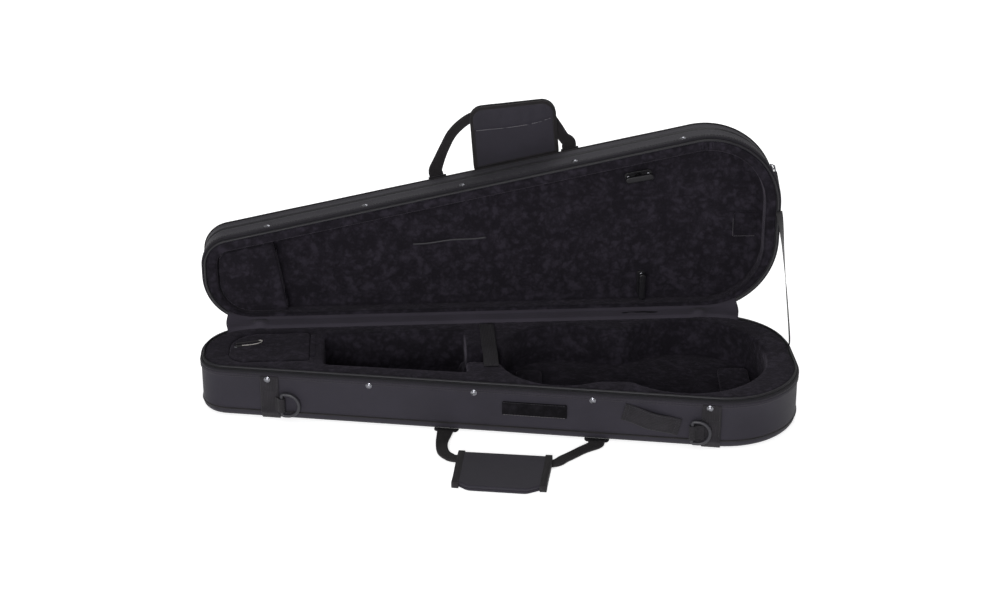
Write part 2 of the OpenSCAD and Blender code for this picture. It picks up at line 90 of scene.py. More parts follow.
def mm(*points):
    """Points given in millimetres, in metres."""
    return [tuple(v * MM for v in q) for q in points]


class Path:
    """Points along a line in the plan, with the normal to the right of travel."""

    def __init__(self, points, closed):
        self.p = np.array(points, float)
        self.closed = closed
        if closed:
            ahead, back = np.roll(self.p, -1, 0), np.roll(self.p, 1, 0)
        else:
            ahead = np.vstack([self.p[1:], 2 * self.p[-1] - self.p[-2]])
            back = np.vstack([2 * self.p[0] - self.p[1], self.p[:-1]])
        t = ahead - back
        t /= np.linalg.norm(t, axis=1)[:, None]
        self.n = np.stack([t[:, 1], -t[:, 0]], 1)
        steps = np.linalg.norm(np.diff(self.p, axis=0), axis=1)
        self.s = np.concatenate([[0], np.cumsum(steps)])
        self.length = self.s[-1] + (np.linalg.norm(self.p[0] - self.p[-1]) if closed else 0)

    def moved(self, off):
        return self.p + off * self.n

    def softened(self, width):
        """A closed line with its sharp corners rounded over about the given width."""
        gap = self.length / len(self.p)
        reach = max(1, int(2 * width / gap))
        weight = np.exp(-0.5 * (np.arange(-reach, reach + 1) * gap / width) ** 2)
        weight /= weight.sum()
        p = sum(w * np.roll(self.p, k, 0) for k, w in zip(range(-reach, reach + 1), weight))
        return Path(p, True)

    def even(self, step):
        """The same line with points a step apart."""
        p = np.vstack([self.p, self.p[:1]]) if self.closed else self.p
        s = np.concatenate([[0], np.cumsum(np.linalg.norm(np.diff(p, axis=0), axis=1))])
        count = max(4, round(s[-1] / step))
        at = np.linspace(0, s[-1], count + 1)
        at = at[:-1] if self.closed else at
        return Path(np.stack([np.interp(at, s, p[:, i]) for i in (0, 1)], 1), self.closed)


def rounded(corners, step, closed=True):
    """A line through corners (x, y, radius), counter-clockwise when closed, with round corners."""
    out = []
    n = len(corners)
    for i, (x, y, r) in enumerate(corners):
        c = np.array([x, y])
        if not closed and i in (0, n - 1):
            out.append(c)
            continue
        a = np.array(corners[i - 1][:2]) - c
        b = np.array(corners[(i + 1) % n][:2]) - c
        a, b = a / np.linalg.norm(a), b / np.linalg.norm(b)
        half = math.acos(np.clip(a @ b, -1, 1)) / 2
        if r <= 0 or half > math.pi / 2 - 0.01:
            out.append(c)
            continue
        start, end = c + a * r / math.tan(half), c + b * r / math.tan(half)
        mid = (a + b) / np.linalg.norm(a + b)
        centre = c + mid * r / math.sin(half)
        turns = max(2, math.ceil(r * (math.pi - 2 * half) / step))
        a0 = math.atan2(*(start - centre)[::-1])
        a1 = math.atan2(*(end - centre)[::-1])
        sweep_a = (a1 - a0 + math.pi) % (2 * math.pi) - math.pi
        out += [centre + r * unit(a0 + sweep_a * k / turns) for k in range(turns + 1)]
    return Path(out, closed).even(step)


def box_path(lo, hi, r, step=2 * MM):
    """A rounded box between two corners of the plan."""
    return rounded([(lo[0], lo[1], r), (hi[0], lo[1], r), (hi[0], hi[1], r), (lo[0], hi[1], r)], step)


def wall_line():
    """Angle of the slanted front wall, and its height y where x is 0."""
    a = np.array([X_LEFT + FRONT_LEFT_R, Y_BACK - NARROW_W + FRONT_LEFT_R])
    b = np.array([X_RIGHT - WIDE_R, CASE_LO.y + WIDE_R])
    v = b - a
    angle = math.atan2(v[1], v[0]) - math.asin((WIDE_R - FRONT_LEFT_R) / np.linalg.norm(v))
    start = a + FRONT_LEFT_R * unit(angle - math.pi / 2)
    return angle, start[1] - start[0] * math.tan(angle)


WALL_A, WALL_Y0 = wall_line()
OUTWARD = unit(WALL_A - math.pi / 2)


def front_y(x):
    return WALL_Y0 + x * math.tan(WALL_A)


def case_corners(inset=0.0, back=None):
    """The case's outline as four rounded corners, inset evenly, or by back at the hinge."""
    back = inset if back is None else back
    drop = inset / math.cos(WALL_A)
    x0, x1, y1 = X_LEFT + inset, X_RIGHT - inset, Y_BACK - back
    return [(x0, front_y(x0) + drop, FRONT_LEFT_R - inset), (x1, front_y(x1) + drop, WIDE_R - inset),
            (x1, y1, WIDE_R - inset), (x0, y1, REAR_LEFT_R - inset)]


OUTLINE = rounded(case_corners(), 4 * MM)


def zip_path(step):
    """The outline without its straight back, where the zips run."""
    p = rounded(case_corners(), step).p
    on_back = (p[:, 1] > Y_BACK - 0.5 * MM) & (p[:, 0] < X_RIGHT - WIDE_R) & (p[:, 0] > X_LEFT + REAR_LEFT_R)
    first = np.where(on_back & ~np.roll(on_back, -1))[0][0]
    p = np.roll(p, -first, 0)
    return Path(p[:len(p) - on_back.sum() + 1], False)


# ------------------------------------------------------------------ meshes

class Shape:
    """Collects vertices, faces and one strip coordinate per corner, all in local metres."""

    def __init__(self, place=BASE):
        self.place, self.v, self.f, self.uv = place, [], [], []

    def add(self, points, faces, uv):
        base = len(self.v)
        self.v += [tuple(q) for q in points]
        self.f += [[base + i for i in f] for f in faces]
        self.uv += [tuple(q) for q in uv]

    def grid(self, rows, uv_u, uv_v, wrap_u=False, wrap_v=False):
        """rows[i][j] is a point; u runs with i and v with j."""
        n, m = len(rows), len(rows[0])
        faces = [[i * m + j, ((i + 1) % n) * m + j, ((i + 1) % n) * m + (j + 1) % m, i * m + (j + 1) % m]
                 for i in range(n if wrap_u else n - 1) for j in range(m if wrap_v else m - 1)]
        self.add([q for row in rows for q in row], faces, [(u, v) for u in uv_u for v in uv_v])

    def make(self, name, material):
        mesh = bpy.data.meshes.new(name)
        mesh.from_pydata([self.place @ Vector(q) for q in self.v], [], self.f)
        layer = mesh.uv_layers.new(name="strip")
        index = np.zeros(len(mesh.loops), int)
        mesh.loops.foreach_get("vertex_index", index)
        layer.data.foreach_set("uv", np.array(self.uv, float)[index].ravel())
        bm = bmesh.new()
        bm.from_mesh(mesh)
        bmesh.ops.remove_doubles(bm, verts=bm.verts, dist=WELD)
        bmesh.ops.dissolve_degenerate(bm, edges=bm.edges, dist=WELD / 2)
        bmesh.ops.recalc_face_normals(bm, faces=bm.faces)
        bm.to_mesh(mesh)
        bm.free()
        for poly in mesh.polygons:
            poly.use_smooth = True
        mesh.materials.append(material)
        obj = bpy.data.objects.new(name, mesh)
        bpy.context.scene.collection.objects.link(obj)
        return obj


def running(profile):
    """Distance along a profile, for the strip coordinate."""
    steps = np.linalg.norm(np.diff(np.array(profile, float), axis=0), axis=1)
    return np.concatenate([[0], np.cumsum(steps)])


def sweep(shape, path, profile, solid=False, wave=None):
    """A profile of (outward, height) carried along a path. wave(s, outward, height) moves it outward."""
    rows = []
    for i in range(len(path.p)):
        row = []
        for off, z in profile:
            out = off + (wave(path.s[i], off, z) if wave else 0)
            x, y = path.p[i] + out * path.n[i]
            row.append((x, y, z))
        rows.append(row)
    shape.grid(rows, path.s, running(profile), wrap_u=path.closed, wrap_v=solid)


def tube_profile(cx, cz, r, sides=10):
    return [(cx + r * math.cos(a), cz + r * math.sin(a))
            for a in np.linspace(0, 2 * math.pi, sides, endpoint=False)]


def covered_wall(name, body, node, place, heights, thick, sag, uneven):
    """A fabric-covered side wall that bellies a little between its two edges."""
    wall = Shape(place)
    low, high = heights[0], heights[-1]

    def belly(s, off, z):
        share = math.sin(math.pi * (z - low) / (high - low))
        return share * (-sag + uneven(s, off, z)) if off > -1 * MM else 0

    profile = [(0, z) for z in heights] + [(-thick, z) for z in heights[::-1]]
    sweep(wall, OUTLINE, profile, solid=True, wave=belly)
    piece(wall, name, "cover", body, "cover", node)


def ripple(seed, amount, length):
    """A smooth, repeatable unevenness along a path."""
    def wave(s, off, z):
        return amount * noise.noise(Vector((s / length, z / length * 1.5, seed)))
    return wave


def inside(path, q):
    """Signed distance of points q from a closed path, negative inside."""
    q = np.atleast_2d(q)
    a, b = path.p, np.roll(path.p, -1, 0)
    level = b[:, 1] == a[:, 1]
    slope = (b[:, 0] - a[:, 0]) / np.where(level, 1, b[:, 1] - a[:, 1])
    out = np.empty(len(q))
    for k in range(0, len(q), 2000):
        x, y = q[k:k + 2000, :1], q[k:k + 2000, 1:]
        dist = np.sqrt(((x - a[:, 0]) ** 2 + (y - a[:, 1]) ** 2).min(1))
        crossed = ((a[:, 1] > y) != (b[:, 1] > y)) & (x < a[:, 0] + (y - a[:, 1]) * slope)
        out[k:k + 2000] = np.where(crossed.sum(1) % 2, -dist, dist)
    return out


def fill(shape, loops, spacing, height):
    """Triangles inside the first of the closed loops of plan points and outside the others.
    height(x, y, edge) gives each point's height from its distance to the nearest loop."""
    outer = Path(loops[0], True)
    inner = [Path(loop, True) for loop in loops[1:]]
    lo, hi = outer.p.min(0), outer.p.max(0)
    xs = np.arange(lo[0], hi[0], spacing)
    ys = np.arange(lo[1], hi[1], spacing * 0.87)
    pts = np.array([(x + (spacing / 2 if j % 2 else 0), y) for j, y in enumerate(ys) for x in xs])

    def depth(q):
        d = -inside(outer, q)
        for hole in inner:
            d = np.minimum(d, inside(hole, q))
        return d

    pts = pts[depth(pts) > spacing * 0.6]
    verts = [Vector(q) for q in np.vstack([*loops, pts])]
    edges, start = [], 0
    for loop in loops:
        n = len(loop)
        edges += [(start + i, start + (i + 1) % n) for i in range(n)]
        start += n
    new_v, _, tris, *_ = geometry.delaunay_2d_cdt(verts, edges, [], 0, 1e-7)
    q = np.array([tuple(v) for v in new_v])
    middle = np.array([q[list(t)].mean(0) for t in tris])
    keep = depth(middle) > 0
    edge = np.maximum(depth(q), 0)
    points = [(x, y, height(x, y, e)) for (x, y), e in zip(q, edge)]
    shape.add(points, [list(t) for t, k in zip(tris, keep) if k], q)


def pillow(shape, path, top, bottom, spacing=5 * MM, round_r=2 * MM, crown=0.0, reach=20 * MM,
           uneven=0.0, seed=0.0, lift=None):
    """A soft slab filling a closed path between two heights, with round edges and a low crown.
    lift(x, y, edge) raises the top by more where it is given."""
    side = 1 if top > bottom else -1
    r = min(round_r, abs(top - bottom) / 2)
    turn = np.linspace(0, math.pi / 2, 5)

    def rise(x, y, edge):
        bulge = crown * (1 - math.exp(-edge / reach))
        return bulge + uneven * min(1, edge / (4 * MM)) * noise.noise(Vector((x * 60, y * 60, seed)))

    for level, way in ((top, side), (bottom, -side)):
        extra = lift if lift and level == top else (lambda x, y, e: 0)
        rows = [[(*(q - r * (1 - math.cos(a)) * n), level - way * r * (1 - math.sin(a))) for a in turn]
                for q, n in zip(path.p, path.n)]
        shape.grid(rows, path.s, r * turn, wrap_u=True)
        fill(shape, [path.moved(-r)], spacing,
             lambda x, y, e, level=level, way=way,
             extra=extra: level + way * (rise(x, y, e) + extra(x, y, e)))
    low, high = bottom + side * r, top - side * r
    if abs(high - low) > 0.05 * MM:
        shape.grid([[(*q, low), (*q, high)] for q in path.p], path.s, [0, abs(high - low)], wrap_u=True)


def basin(shape, path, top, floor, edge_r=4 * MM, foot_r=5 * MM, spacing=5 * MM, uneven=0.0, seed=0.0):
    """A hollow sunk from the depth top to floor(x, y), with a rounded edge and a rounded foot."""
    turn = np.linspace(0, math.pi / 2, 6)
    rows = []
    for q, n in zip(path.p, path.n):
        low = floor(*q)
        edge = [(*(q + edge_r * (1 - math.sin(a)) * n), top + edge_r * (1 - math.cos(a))) for a in turn]
        wall = [(*(q + 0.4 * MM * noise.noise(Vector((*(q * 25), seed + 9))) * n), top + edge_r
                 + (low - foot_r - top - edge_r) * k / WALL_ROWS) for k in range(1, WALL_ROWS)]
        foot = [(*(q - foot_r * (1 - math.cos(a)) * n), low - foot_r * (1 - math.sin(a))) for a in turn]
        rows.append(edge + wall + foot)
    shape.grid(rows, path.s, np.arange(len(rows[0])) * 4 * MM, wrap_u=True)
    ring = Path([row[-1][:2] for row in rows], True)

    def height(x, y, edge):
        if edge < 1e-6:
            near = ((ring.p - (x, y)) ** 2).sum(1).argmin()
            return rows[near][-1][2]
        return floor(x, y) - uneven * min(1, edge / (12 * MM)) * noise.fractal(
            Vector((x * 22, y * 22, seed)), 0.6, 2.0, 4)

    fill(shape, [ring.p], spacing, height)


def strap(shape, centre, widths, thick, normals):
    """A webbing strap along 3-D centre points. normals are the directions its face looks."""
    c = np.array(centre, float)
    t = np.gradient(c, axis=0)
    t /= np.linalg.norm(t, axis=1)[:, None]
    nrm = np.array(normals, float)
    if nrm.ndim == 1:
        nrm = np.tile(nrm, (len(c), 1))
    nrm = nrm - (nrm * t).sum(1)[:, None] * t
    nrm /= np.linalg.norm(nrm, axis=1)[:, None]
    side = np.cross(t, nrm)
    w = np.broadcast_to(widths, len(c)) / 2
    h = thick / 2
    section = [(-1, -0.3), (-0.97, -0.85), (-0.9, -1), (0.9, -1), (0.97, -0.85), (1, -0.3),
               (1, 0.3), (0.97, 0.85), (0.9, 1), (-0.9, 1), (-0.97, 0.85), (-1, 0.3)]
    rows = [[tuple(c[i] + side[i] * w[i] * a + nrm[i] * h * b) for a, b in section] for i in range(len(c))]
    s = running(c)
    across = [w[0] * a for a, _ in section]
    shape.grid(rows, s, across, wrap_v=True)
    for row, u in ((rows[0], s[0]), (rows[-1], s[-1])):
        shape.add(row, [list(range(len(row)))], [(u, a) for a in across])


def smooth_line(points, step):
    """A smooth curve (Catmull-Rom) through a few given points, evenly spaced."""
    p = np.array(points, float)
    ext = np.vstack([2 * p[0] - p[1], p, 2 * p[-1] - p[-2]])
    out = []
    for i in range(len(p) - 1):
        a, b, c, d = ext[i:i + 4]
        for t in np.linspace(0, 1, 12, endpoint=False):
            out.append(0.5 * (2 * b + (c - a) * t + (2 * a - 5 * b + 4 * c - d) * t * t
                              + (3 * b - a - 3 * c + d) * t ** 3))
    out.append(p[-1])
    out = np.array(out)
    s = running(out)
    at = np.linspace(0, s[-1], max(3, round(s[-1] / step)))
    return np.stack([np.interp(at, s, out[:, k]) for k in range(out.shape[1])], 1)


def stitches(shape, points, normals, length=3.0 * MM, pitch=4.2 * MM, thick=0.7 * MM, closed=False):
    """Thread stitches laid along 3-D points, each a small flat hexagonal bar.
    normals is the direction they face, one for all or one for each point."""
    p = np.array(points, float)
    normals = np.broadcast_to(np.array(normals, float), p.shape)
    if closed:
        p = np.vstack([p, p[:1]])
        normals = np.vstack([normals, normals[:1]])
    s = running(p)
    for at in np.arange(pitch / 2, s[-1] - length / 2, pitch):
        ends = [np.array([np.interp(at + d, s, p[:, k]) for k in range(3)])
                for d in (-length / 2, length / 2)]
        up = np.array([np.interp(at, s, normals[:, k]) for k in range(3)])
        up /= np.linalg.norm(up)
        t = (ends[1] - ends[0]) / np.linalg.norm(ends[1] - ends[0])
        side = np.cross(t, up)
        rows = []
        for share, size in ((0, 0.35), (0.18, 1), (0.82, 1), (1, 0.35)):
            c = ends[0] + (ends[1] - ends[0]) * share
            rows.append([tuple(c + (side * math.cos(a) + up * math.sin(a) * 0.8) * thick / 2 * size)
                         for a in np.linspace(0, 2 * math.pi, 6, endpoint=False)])
        shape.grid(rows, [at, at, at, at], [0] * 6, wrap_v=True)
        for row in (rows[0], rows[-1]):
            shape.add(row, [list(range(6))], [(at, 0)] * 6)


def lathe(shape, profile, frame_m, sides=24):
    """A profile of (radius, height) turned round the local Z of frame_m."""
    rows = [[tuple(frame_m @ Vector((r * math.cos(a), r * math.sin(a), z))) for r, z in profile]
            for a in np.linspace(0, 2 * math.pi, sides, endpoint=False)]
    shape.grid(rows, list(range(sides)), running(profile), wrap_u=True)


def bar(shape, points, radius, sides=10, closed=False, flat=1.0, up=(0, 0, 1)):
    """A round bar along 3-D points."""
    p = np.array(points, float)
    n = len(p)
    t = np.roll(p, -1, 0) - np.roll(p, 1, 0) if closed else np.gradient(p, axis=0)
    t /= np.linalg.norm(t, axis=1)[:, None]
    upv = np.tile(np.array(up, float), (n, 1))
    a_dir = np.cross(t, upv)
    a_dir /= np.linalg.norm(a_dir, axis=1)[:, None]
    b_dir = np.cross(a_dir, t)
    rows = [[tuple(p[i] + radius * (a_dir[i] * math.cos(a) + b_dir[i] * flat * math.sin(a)))
             for a in np.linspace(0, 2 * math.pi, sides, endpoint=False)] for i in range(n)]
    shape.grid(rows, running(p), [radius * k for k in range(sides)], wrap_u=closed, wrap_v=True)
    if not closed:
        for row in (rows[0], rows[-1]):
            shape.add(row, [list(range(sides))], [(0, 0)] * sides)


# ------------------------------------------------------------------ materials

class Nodes:
    """Short helpers for a node material."""

    def __init__(self, name, color, roughness, **sockets):
        self.mat = bpy.data.materials.new(name)
        self.mat.use_nodes = True
        self.tree = self.mat.node_tree
        self.bsdf = self.tree.nodes["Principled BSDF"]
        self.bsdf.inputs["Base Color"].default_value = (*color, 1)
        self.bsdf.inputs["Roughness"].default_value = roughness
        for key, value in sockets.items():
            self.bsdf.inputs[key.replace("_", " ")].default_value = value
        self.mat.diffuse_color = (*color, 1)

    def join(self, source, socket):
        self.tree.links.new(source, self.bsdf.inputs[socket])

    def math(self, operation, a, b=0.0):
        n = self.tree.nodes.new("ShaderNodeMath")
        n.operation = operation
        for i, value in enumerate((a, b)):
            if hasattr(value, "links"):
                self.tree.links.new(value, n.inputs[i])
            else:
                n.inputs[i].default_value = value
        return n.outputs[0]

    def ramp(self, fac, stops):
        n = self.tree.nodes.new("ShaderNodeValToRGB")
        self.tree.links.new(fac, n.inputs["Fac"])
        for i, (at, color) in enumerate(stops):
            e = n.color_ramp.elements[i] if i < 2 else n.color_ramp.elements.new(at)
            e.position = at
            e.color = (*color, 1)
        return n.outputs["Color"]

    def noise(self, scale, detail, rough=0.6):
        n = self.tree.nodes.new("ShaderNodeTexNoise")
        n.inputs["Scale"].default_value = scale
        n.inputs["Detail"].default_value = detail
        n.inputs["Roughness"].default_value = rough
        place = self.tree.nodes.new("ShaderNodeTexCoord").outputs["Object"]
        self.tree.links.new(place, n.inputs["Vector"])
        return n.outputs["Fac"]

    def strip(self):
        n = self.tree.nodes.new("ShaderNodeUVMap")
        n.uv_map = "strip"
        return n.outputs["UV"]

    def thread(self, axis, pitch):
        """A wave of the given pitch in metres across one strip coordinate."""
        split = self.tree.nodes.new("ShaderNodeSeparateXYZ")
        self.tree.links.new(self.strip(), split.inputs[0])
        turned = self.math("MULTIPLY", split.outputs[axis], 2 * math.pi / pitch)
        return self.math("SINE", turned)

    def bump(self, height, strength, distance, below=None):
        n = self.tree.nodes.new("ShaderNodeBump")
        n.inputs["Strength"].default_value = strength
        n.inputs["Distance"].default_value = distance
        self.tree.links.new(height, n.inputs["Height"])
        if below is not None:
            self.tree.links.new(below, n.inputs["Normal"])
        return n.outputs["Normal"]


def scaled(color, k):
    return tuple(c * k for c in color)


def nylon(name, color, pitch=1.1 * MM):
    """Plain-woven nylon: a fine basket of threads, slight changes of tone, and a lighter colour where the
    broad bump rises.
    """
    m = Nodes(name, color, 0.75, Sheen_Weight=0.05, Sheen_Roughness=0.5, Specular_IOR_Level=0.2)
    weave = m.math("MULTIPLY", m.thread(0, pitch), m.thread(1, pitch))
    broad = m.noise(14, 3)
    fine = m.noise(900, 2)
    mix = m.math("ADD", m.math("MULTIPLY", weave, 0.10), m.math("ADD", m.math("MULTIPLY", broad, 0.7),
                                                           m.math("MULTIPLY", fine, 0.3)))
    m.join(m.ramp(mix, [(0.25, scaled(color, 0.78)), (0.75, scaled(color, 1.25))]), "Base Color")
    m.join(m.bump(weave, 0.35, 0.15 * MM, m.bump(broad, 0.25, 2 * MM)), "Normal")
    return m.mat


def plush(name, color, sheen=0.1):
    """Short crushed pile: small patches of random tone that lean different ways, with the creases between
    them darkened in the colour as painted shade.
    """
    m = Nodes(name, color, 0.95, Sheen_Weight=sheen, Sheen_Roughness=0.4, Specular_IOR_Level=0.08,
              Sheen_Tint=(0.66, 0.6, 0.74, 1))
    fold = m.math("ABSOLUTE", m.math("SUBTRACT", m.noise(75, 3, 0.55), 0.5))
    patch = m.noise(42, 4, 0.62)
    pile = m.noise(1500, 2)
    mix = m.math("ADD", m.math("MULTIPLY", fold, 1.5),
                 m.math("ADD", m.math("MULTIPLY", patch, 0.8), m.math("MULTIPLY", pile, 0.13)))
    # The ramp makes the colour darker along the creases, where fold is near zero: painted shade.
    m.join(m.ramp(mix, [(0.46, scaled(color, 0.62)), (0.6, color), (0.78, scaled(color, 1.6))]),
           "Base Color")
    lean = m.bump(m.math("ADD", fold, m.math("MULTIPLY", patch, 0.6)), 0.6, 3.2 * MM)
    m.join(m.bump(pile, 0.5, 0.5 * MM, lean), "Normal")
    return m.mat


def webbing(name, color, rib=2.2 * MM):
    """Ribbed webbing: ribs along the strap crossed by fine picks."""
    m = Nodes(name, color, 0.7, Sheen_Weight=0.04, Specular_IOR_Level=0.22)
    ribs = m.thread(1, rib)
    picks = m.thread(0, 1.3 * MM)
    both = m.math("ADD", m.math("MULTIPLY", ribs, 0.6), m.math("MULTIPLY", picks, 0.4))
    wear = m.noise(60, 3)
    mix = m.math("ADD", m.math("MULTIPLY", both, 0.22), wear)
    m.join(m.ramp(mix, [(0.25, scaled(color, 0.6)), (0.8, scaled(color, 1.5))]), "Base Color")
    m.join(m.bump(both, 0.8, 0.45 * MM), "Normal")
    return m.mat


def thread_mat(name, color):
    m = Nodes(name, color, 0.55, Specular_IOR_Level=0.4)
    twist = m.noise(2500, 2)
    m.join(m.ramp(twist, [(0.3, scaled(color, 0.7)), (0.7, scaled(color, 1.4))]), "Base Color")
    m.join(m.bump(twist, 0.5, 0.2 * MM), "Normal")
    return m.mat


def coated(name, color, roughness, grain=700, strength=0.15, metallic=0.0, coat=0.0, gloss=0.5):
    """Moulded plastic or plated metal with fine grain and handling marks."""
    m = Nodes(name, color, roughness, Metallic=metallic, Coat_Weight=coat, Coat_Roughness=0.2,
              Specular_IOR_Level=gloss)
    marks = m.noise(90, 5)
    fine = m.noise(grain, 2)
    m.join(m.ramp(marks, [(0.3, scaled(color, 0.85)), (0.75, scaled(color, 1.15))]), "Base Color")
    rough = m.math("ADD", m.math("MULTIPLY", marks, 0.18), roughness - 0.09)
    m.join(rough, "Roughness")
    m.join(m.bump(fine, strength, 0.2 * MM), "Normal")
    return m.mat


def zip_tape(name, color):
    m = Nodes(name, color, 0.75, Sheen_Weight=0.08)
    twill = m.math("MULTIPLY", m.thread(0, 1.0 * MM), m.thread(1, 1.0 * MM))
    m.join(m.ramp(m.math("ADD", m.math("MULTIPLY", twill, 0.3), 0.5),
                  [(0.2, scaled(color, 0.7)), (0.8, scaled(color, 1.3))]), "Base Color")
    m.join(m.bump(twill, 0.6, 0.2 * MM), "Normal")
    return m.mat


MAT = {
    "cover": nylon("case_nylon", (0.0152, 0.0134, 0.0194)),
    "band": nylon("rim_nylon", (0.0150, 0.0128, 0.0186), 0.9 * MM),
    "hinge": nylon("hinge_cloth", (0.0230, 0.0198, 0.0280)),
    "plush": plush("crushed_plush", (0.0106, 0.0091, 0.0128)),
    "webbing": webbing("ribbed_webbing", (0.0098, 0.0084, 0.0110)),
    "binding": webbing("edge_binding", (0.0098, 0.0082, 0.0094), 1.4 * MM),
    "piping": nylon("bound_piping", (0.0062, 0.0053, 0.0082), 0.8 * MM),
    "tape": zip_tape("zip_tape", (0.006, 0.0056, 0.0075)),
    "coil": coated("zip_coil", (0.008, 0.0074, 0.0098), 0.5, 1200, 0.1, gloss=0.3),
    "thread": thread_mat("sewing_thread", (0.012, 0.011, 0.0145)),
    "light_thread": thread_mat("light_thread", (0.13, 0.125, 0.135)),
    "mid_thread": thread_mat("mid_thread", (0.045, 0.042, 0.048)),
    "nickel": coated("black_nickel", (0.2, 0.2, 0.22), 0.25, 1500, 0.05, metallic=1.0),
    "ring": coated("ring_plastic", (0.018, 0.017, 0.0215), 0.45, 900, 0.12, gloss=0.35),
    "black_plastic": coated("black_plastic", (0.005, 0.0046, 0.006), 0.4, 900, 0.06, gloss=0.2),
    # Also used for the dark bars and strip of painted shade on the lid lining and the hinge.
    "hook": plush("hook_pile", (0.0052, 0.0046, 0.006), 0.04),
    "ribbon": coated("satin_ribbon", (0.016, 0.0148, 0.0165), 0.5, 1600, 0.25, gloss=0.3),
    # Light cord colour for a painted highlight along the pull ribbon's edge.
    "ribbon_highlight": coated("ribbon_painted_highlight", (0.42, 0.40, 0.385), 0.35, 1600, 0.2),
}


def finish_piece(obj, body, slot, *nodes):
    """Sets what an object rides on and hides the CAD nodes it stands for; its material slot is not used."""
    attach(obj, body)
    if nodes:
        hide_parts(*nodes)
    return obj


def piece(shape, name, material, body, slot, *nodes):
    """Makes a shape into a finished piece, with a material named in MAT."""
    return finish_piece(shape.make(name, MAT[material]), body, slot, *nodes)


def bending_piece(shape, name, material, slot, bodies, low, high, *nodes):
    """Makes a shape into a piece with its placement baked in and hides its CAD nodes; it does not bend, and
    slot, bodies, low and high are not used.
    """
    obj = shape.make(name, MAT[material])
    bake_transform(obj)
    if nodes:
        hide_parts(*nodes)
    return obj


# ------------------------------------------------------------------ rims, shared by base and lid

def toothed_coil(name, body, node, place, path, radius, waist, off, depth):
    """A zip's coil: a six-sided bead, narrowed to a share of its radius at every other step."""
    coil = Shape(place)
    around = np.linspace(0, 2 * math.pi, 6, endpoint=False)
    rows = []
    for i, (q, n) in enumerate(zip(path.p, path.n)):
        r = radius * (1.0 if i % 2 else waist)
        rows.append([(*(q + (off + r * math.cos(a)) * n), depth + r * math.sin(a)) for a in around])
    coil.grid(rows, path.s, np.arange(6) * MM, wrap_v=True)
    piece(coil, name, "coil", body, "zip", node)


def rim(place, body, prefix, seed):
    """Bound rim of one half: stitched band, piping bead, zip tape and zip coil."""
    band = Shape(place)
    profile = mm((-0.3, 14.2), (0.5, 13.9), (0.75, 13.2), (0.8, 9.6),
               (0.4, 8.4), (-0.6, 7.8), (-1.6, 8), (-1.4, 14))
    sweep(band, OUTLINE, profile, solid=True, wave=ripple(seed, 0.35 * MM, 90 * MM))
    piece(band, prefix + "_rim_band", "band", body, "cover")

    bead = Shape(place)
    sweep(bead, OUTLINE, tube_profile(-0.9 * MM, 6.1 * MM, PIPE_R), solid=True,
          wave=ripple(seed + 1, 0.3 * MM, 70 * MM))
    piece(bead, prefix + "_piping", "piping", body, "piping", prefix + "_rim_piping")

    tape = Shape(place)
    sweep(tape, zip_path(4 * MM), mm((-1.6, 5.4), (-2.6, 4.6), (-3.4, 3.9), (-5.6, 4.2),
                                   (-5.7, 14), (-1.8, 14)), solid=True)
    piece(tape, prefix + "_zip_tape", "tape", body, "zip")

    toothed_coil(prefix + "_zip_coil", body, prefix + "_zip", place, zip_path(0.8 * MM), COIL_R, 0.8,
                 -3.9 * MM, 1.95 * MM)

    thread = Shape(place)
    for depth in (10.2 * MM, 12.6 * MM):
        points = [(*(q + 0.95 * MM * n), depth) for q, n in zip(OUTLINE.p, OUTLINE.n)]
        stitches(thread, points, [(*n, 0) for n in OUTLINE.n], closed=True)
    piece(thread, prefix + "_rim_stitches", "thread", body, "cover")


rim(BASE_RIM, "base", "base", 3.0)
rim(LID, "lid", "lid", 7.0)


# ------------------------------------------------------------------ base, outside

BOTTOM_R = 10 * MM
BOTTOM_PIPING_Z = BOTTOM_R + 2 * MM


def base_outside():
    shape = Shape()
    turn = np.linspace(0, math.pi / 2, 8)
    edge = [(-BOTTOM_R + BOTTOM_R * math.sin(a), BOTTOM_R - BOTTOM_R * math.cos(a)) for a in turn]
    sweep(shape, OUTLINE, edge + mm((0.1, 11), (-1.2, 11)))
    fill(shape, [OUTLINE.moved(-BOTTOM_R)], 12 * MM, lambda x, y, e: 0)
    piece(shape, "bottom_cover", "cover", "base", "cover", "base_bottom_cover", "base_shell")

    piping = Shape()
    sweep(piping, OUTLINE, tube_profile(-0.5 * MM, BOTTOM_PIPING_Z, 1.5 * MM, 8), solid=True)
    piece(piping, "bottom_piping", "binding", "base", "piping", "base_bottom_piping")

    heights = np.linspace(BOTTOM_PIPING_Z + 0.5 * MM, BASE_H - 8.8 * MM, 15)
    covered_wall("side_cover", "base", "base_side_cover", BASE, heights, 2.4 * MM, 1.0 * MM,
                 ripple(11.0, 1.5 * MM, 110 * MM))


base_outside()


# ------------------------------------------------------------------ base, inside

VIOLIN_A = math.radians(175.9)
BUTTON = np.array([360, -2]) * MM
BODY_FLOOR, NECK_FLOOR, WELL_FLOOR = BASE_H - 20 * MM, BASE_H - 38 * MM, BASE_H - 14 * MM
NECK_X = (-42 * MM, 4 * MM)


def violin(u, w):
    """A point given along and across the violin, in the plan."""
    return BUTTON + u * unit(VIOLIN_A) + w * unit(VIOLIN_A + math.pi / 2)


def violin_arc(centre, r, a0, a1, count=40):
    return [violin(centre + r * math.cos(a),
                   r * math.sin(a)) for a in np.radians(np.linspace(a0, a1, count))]


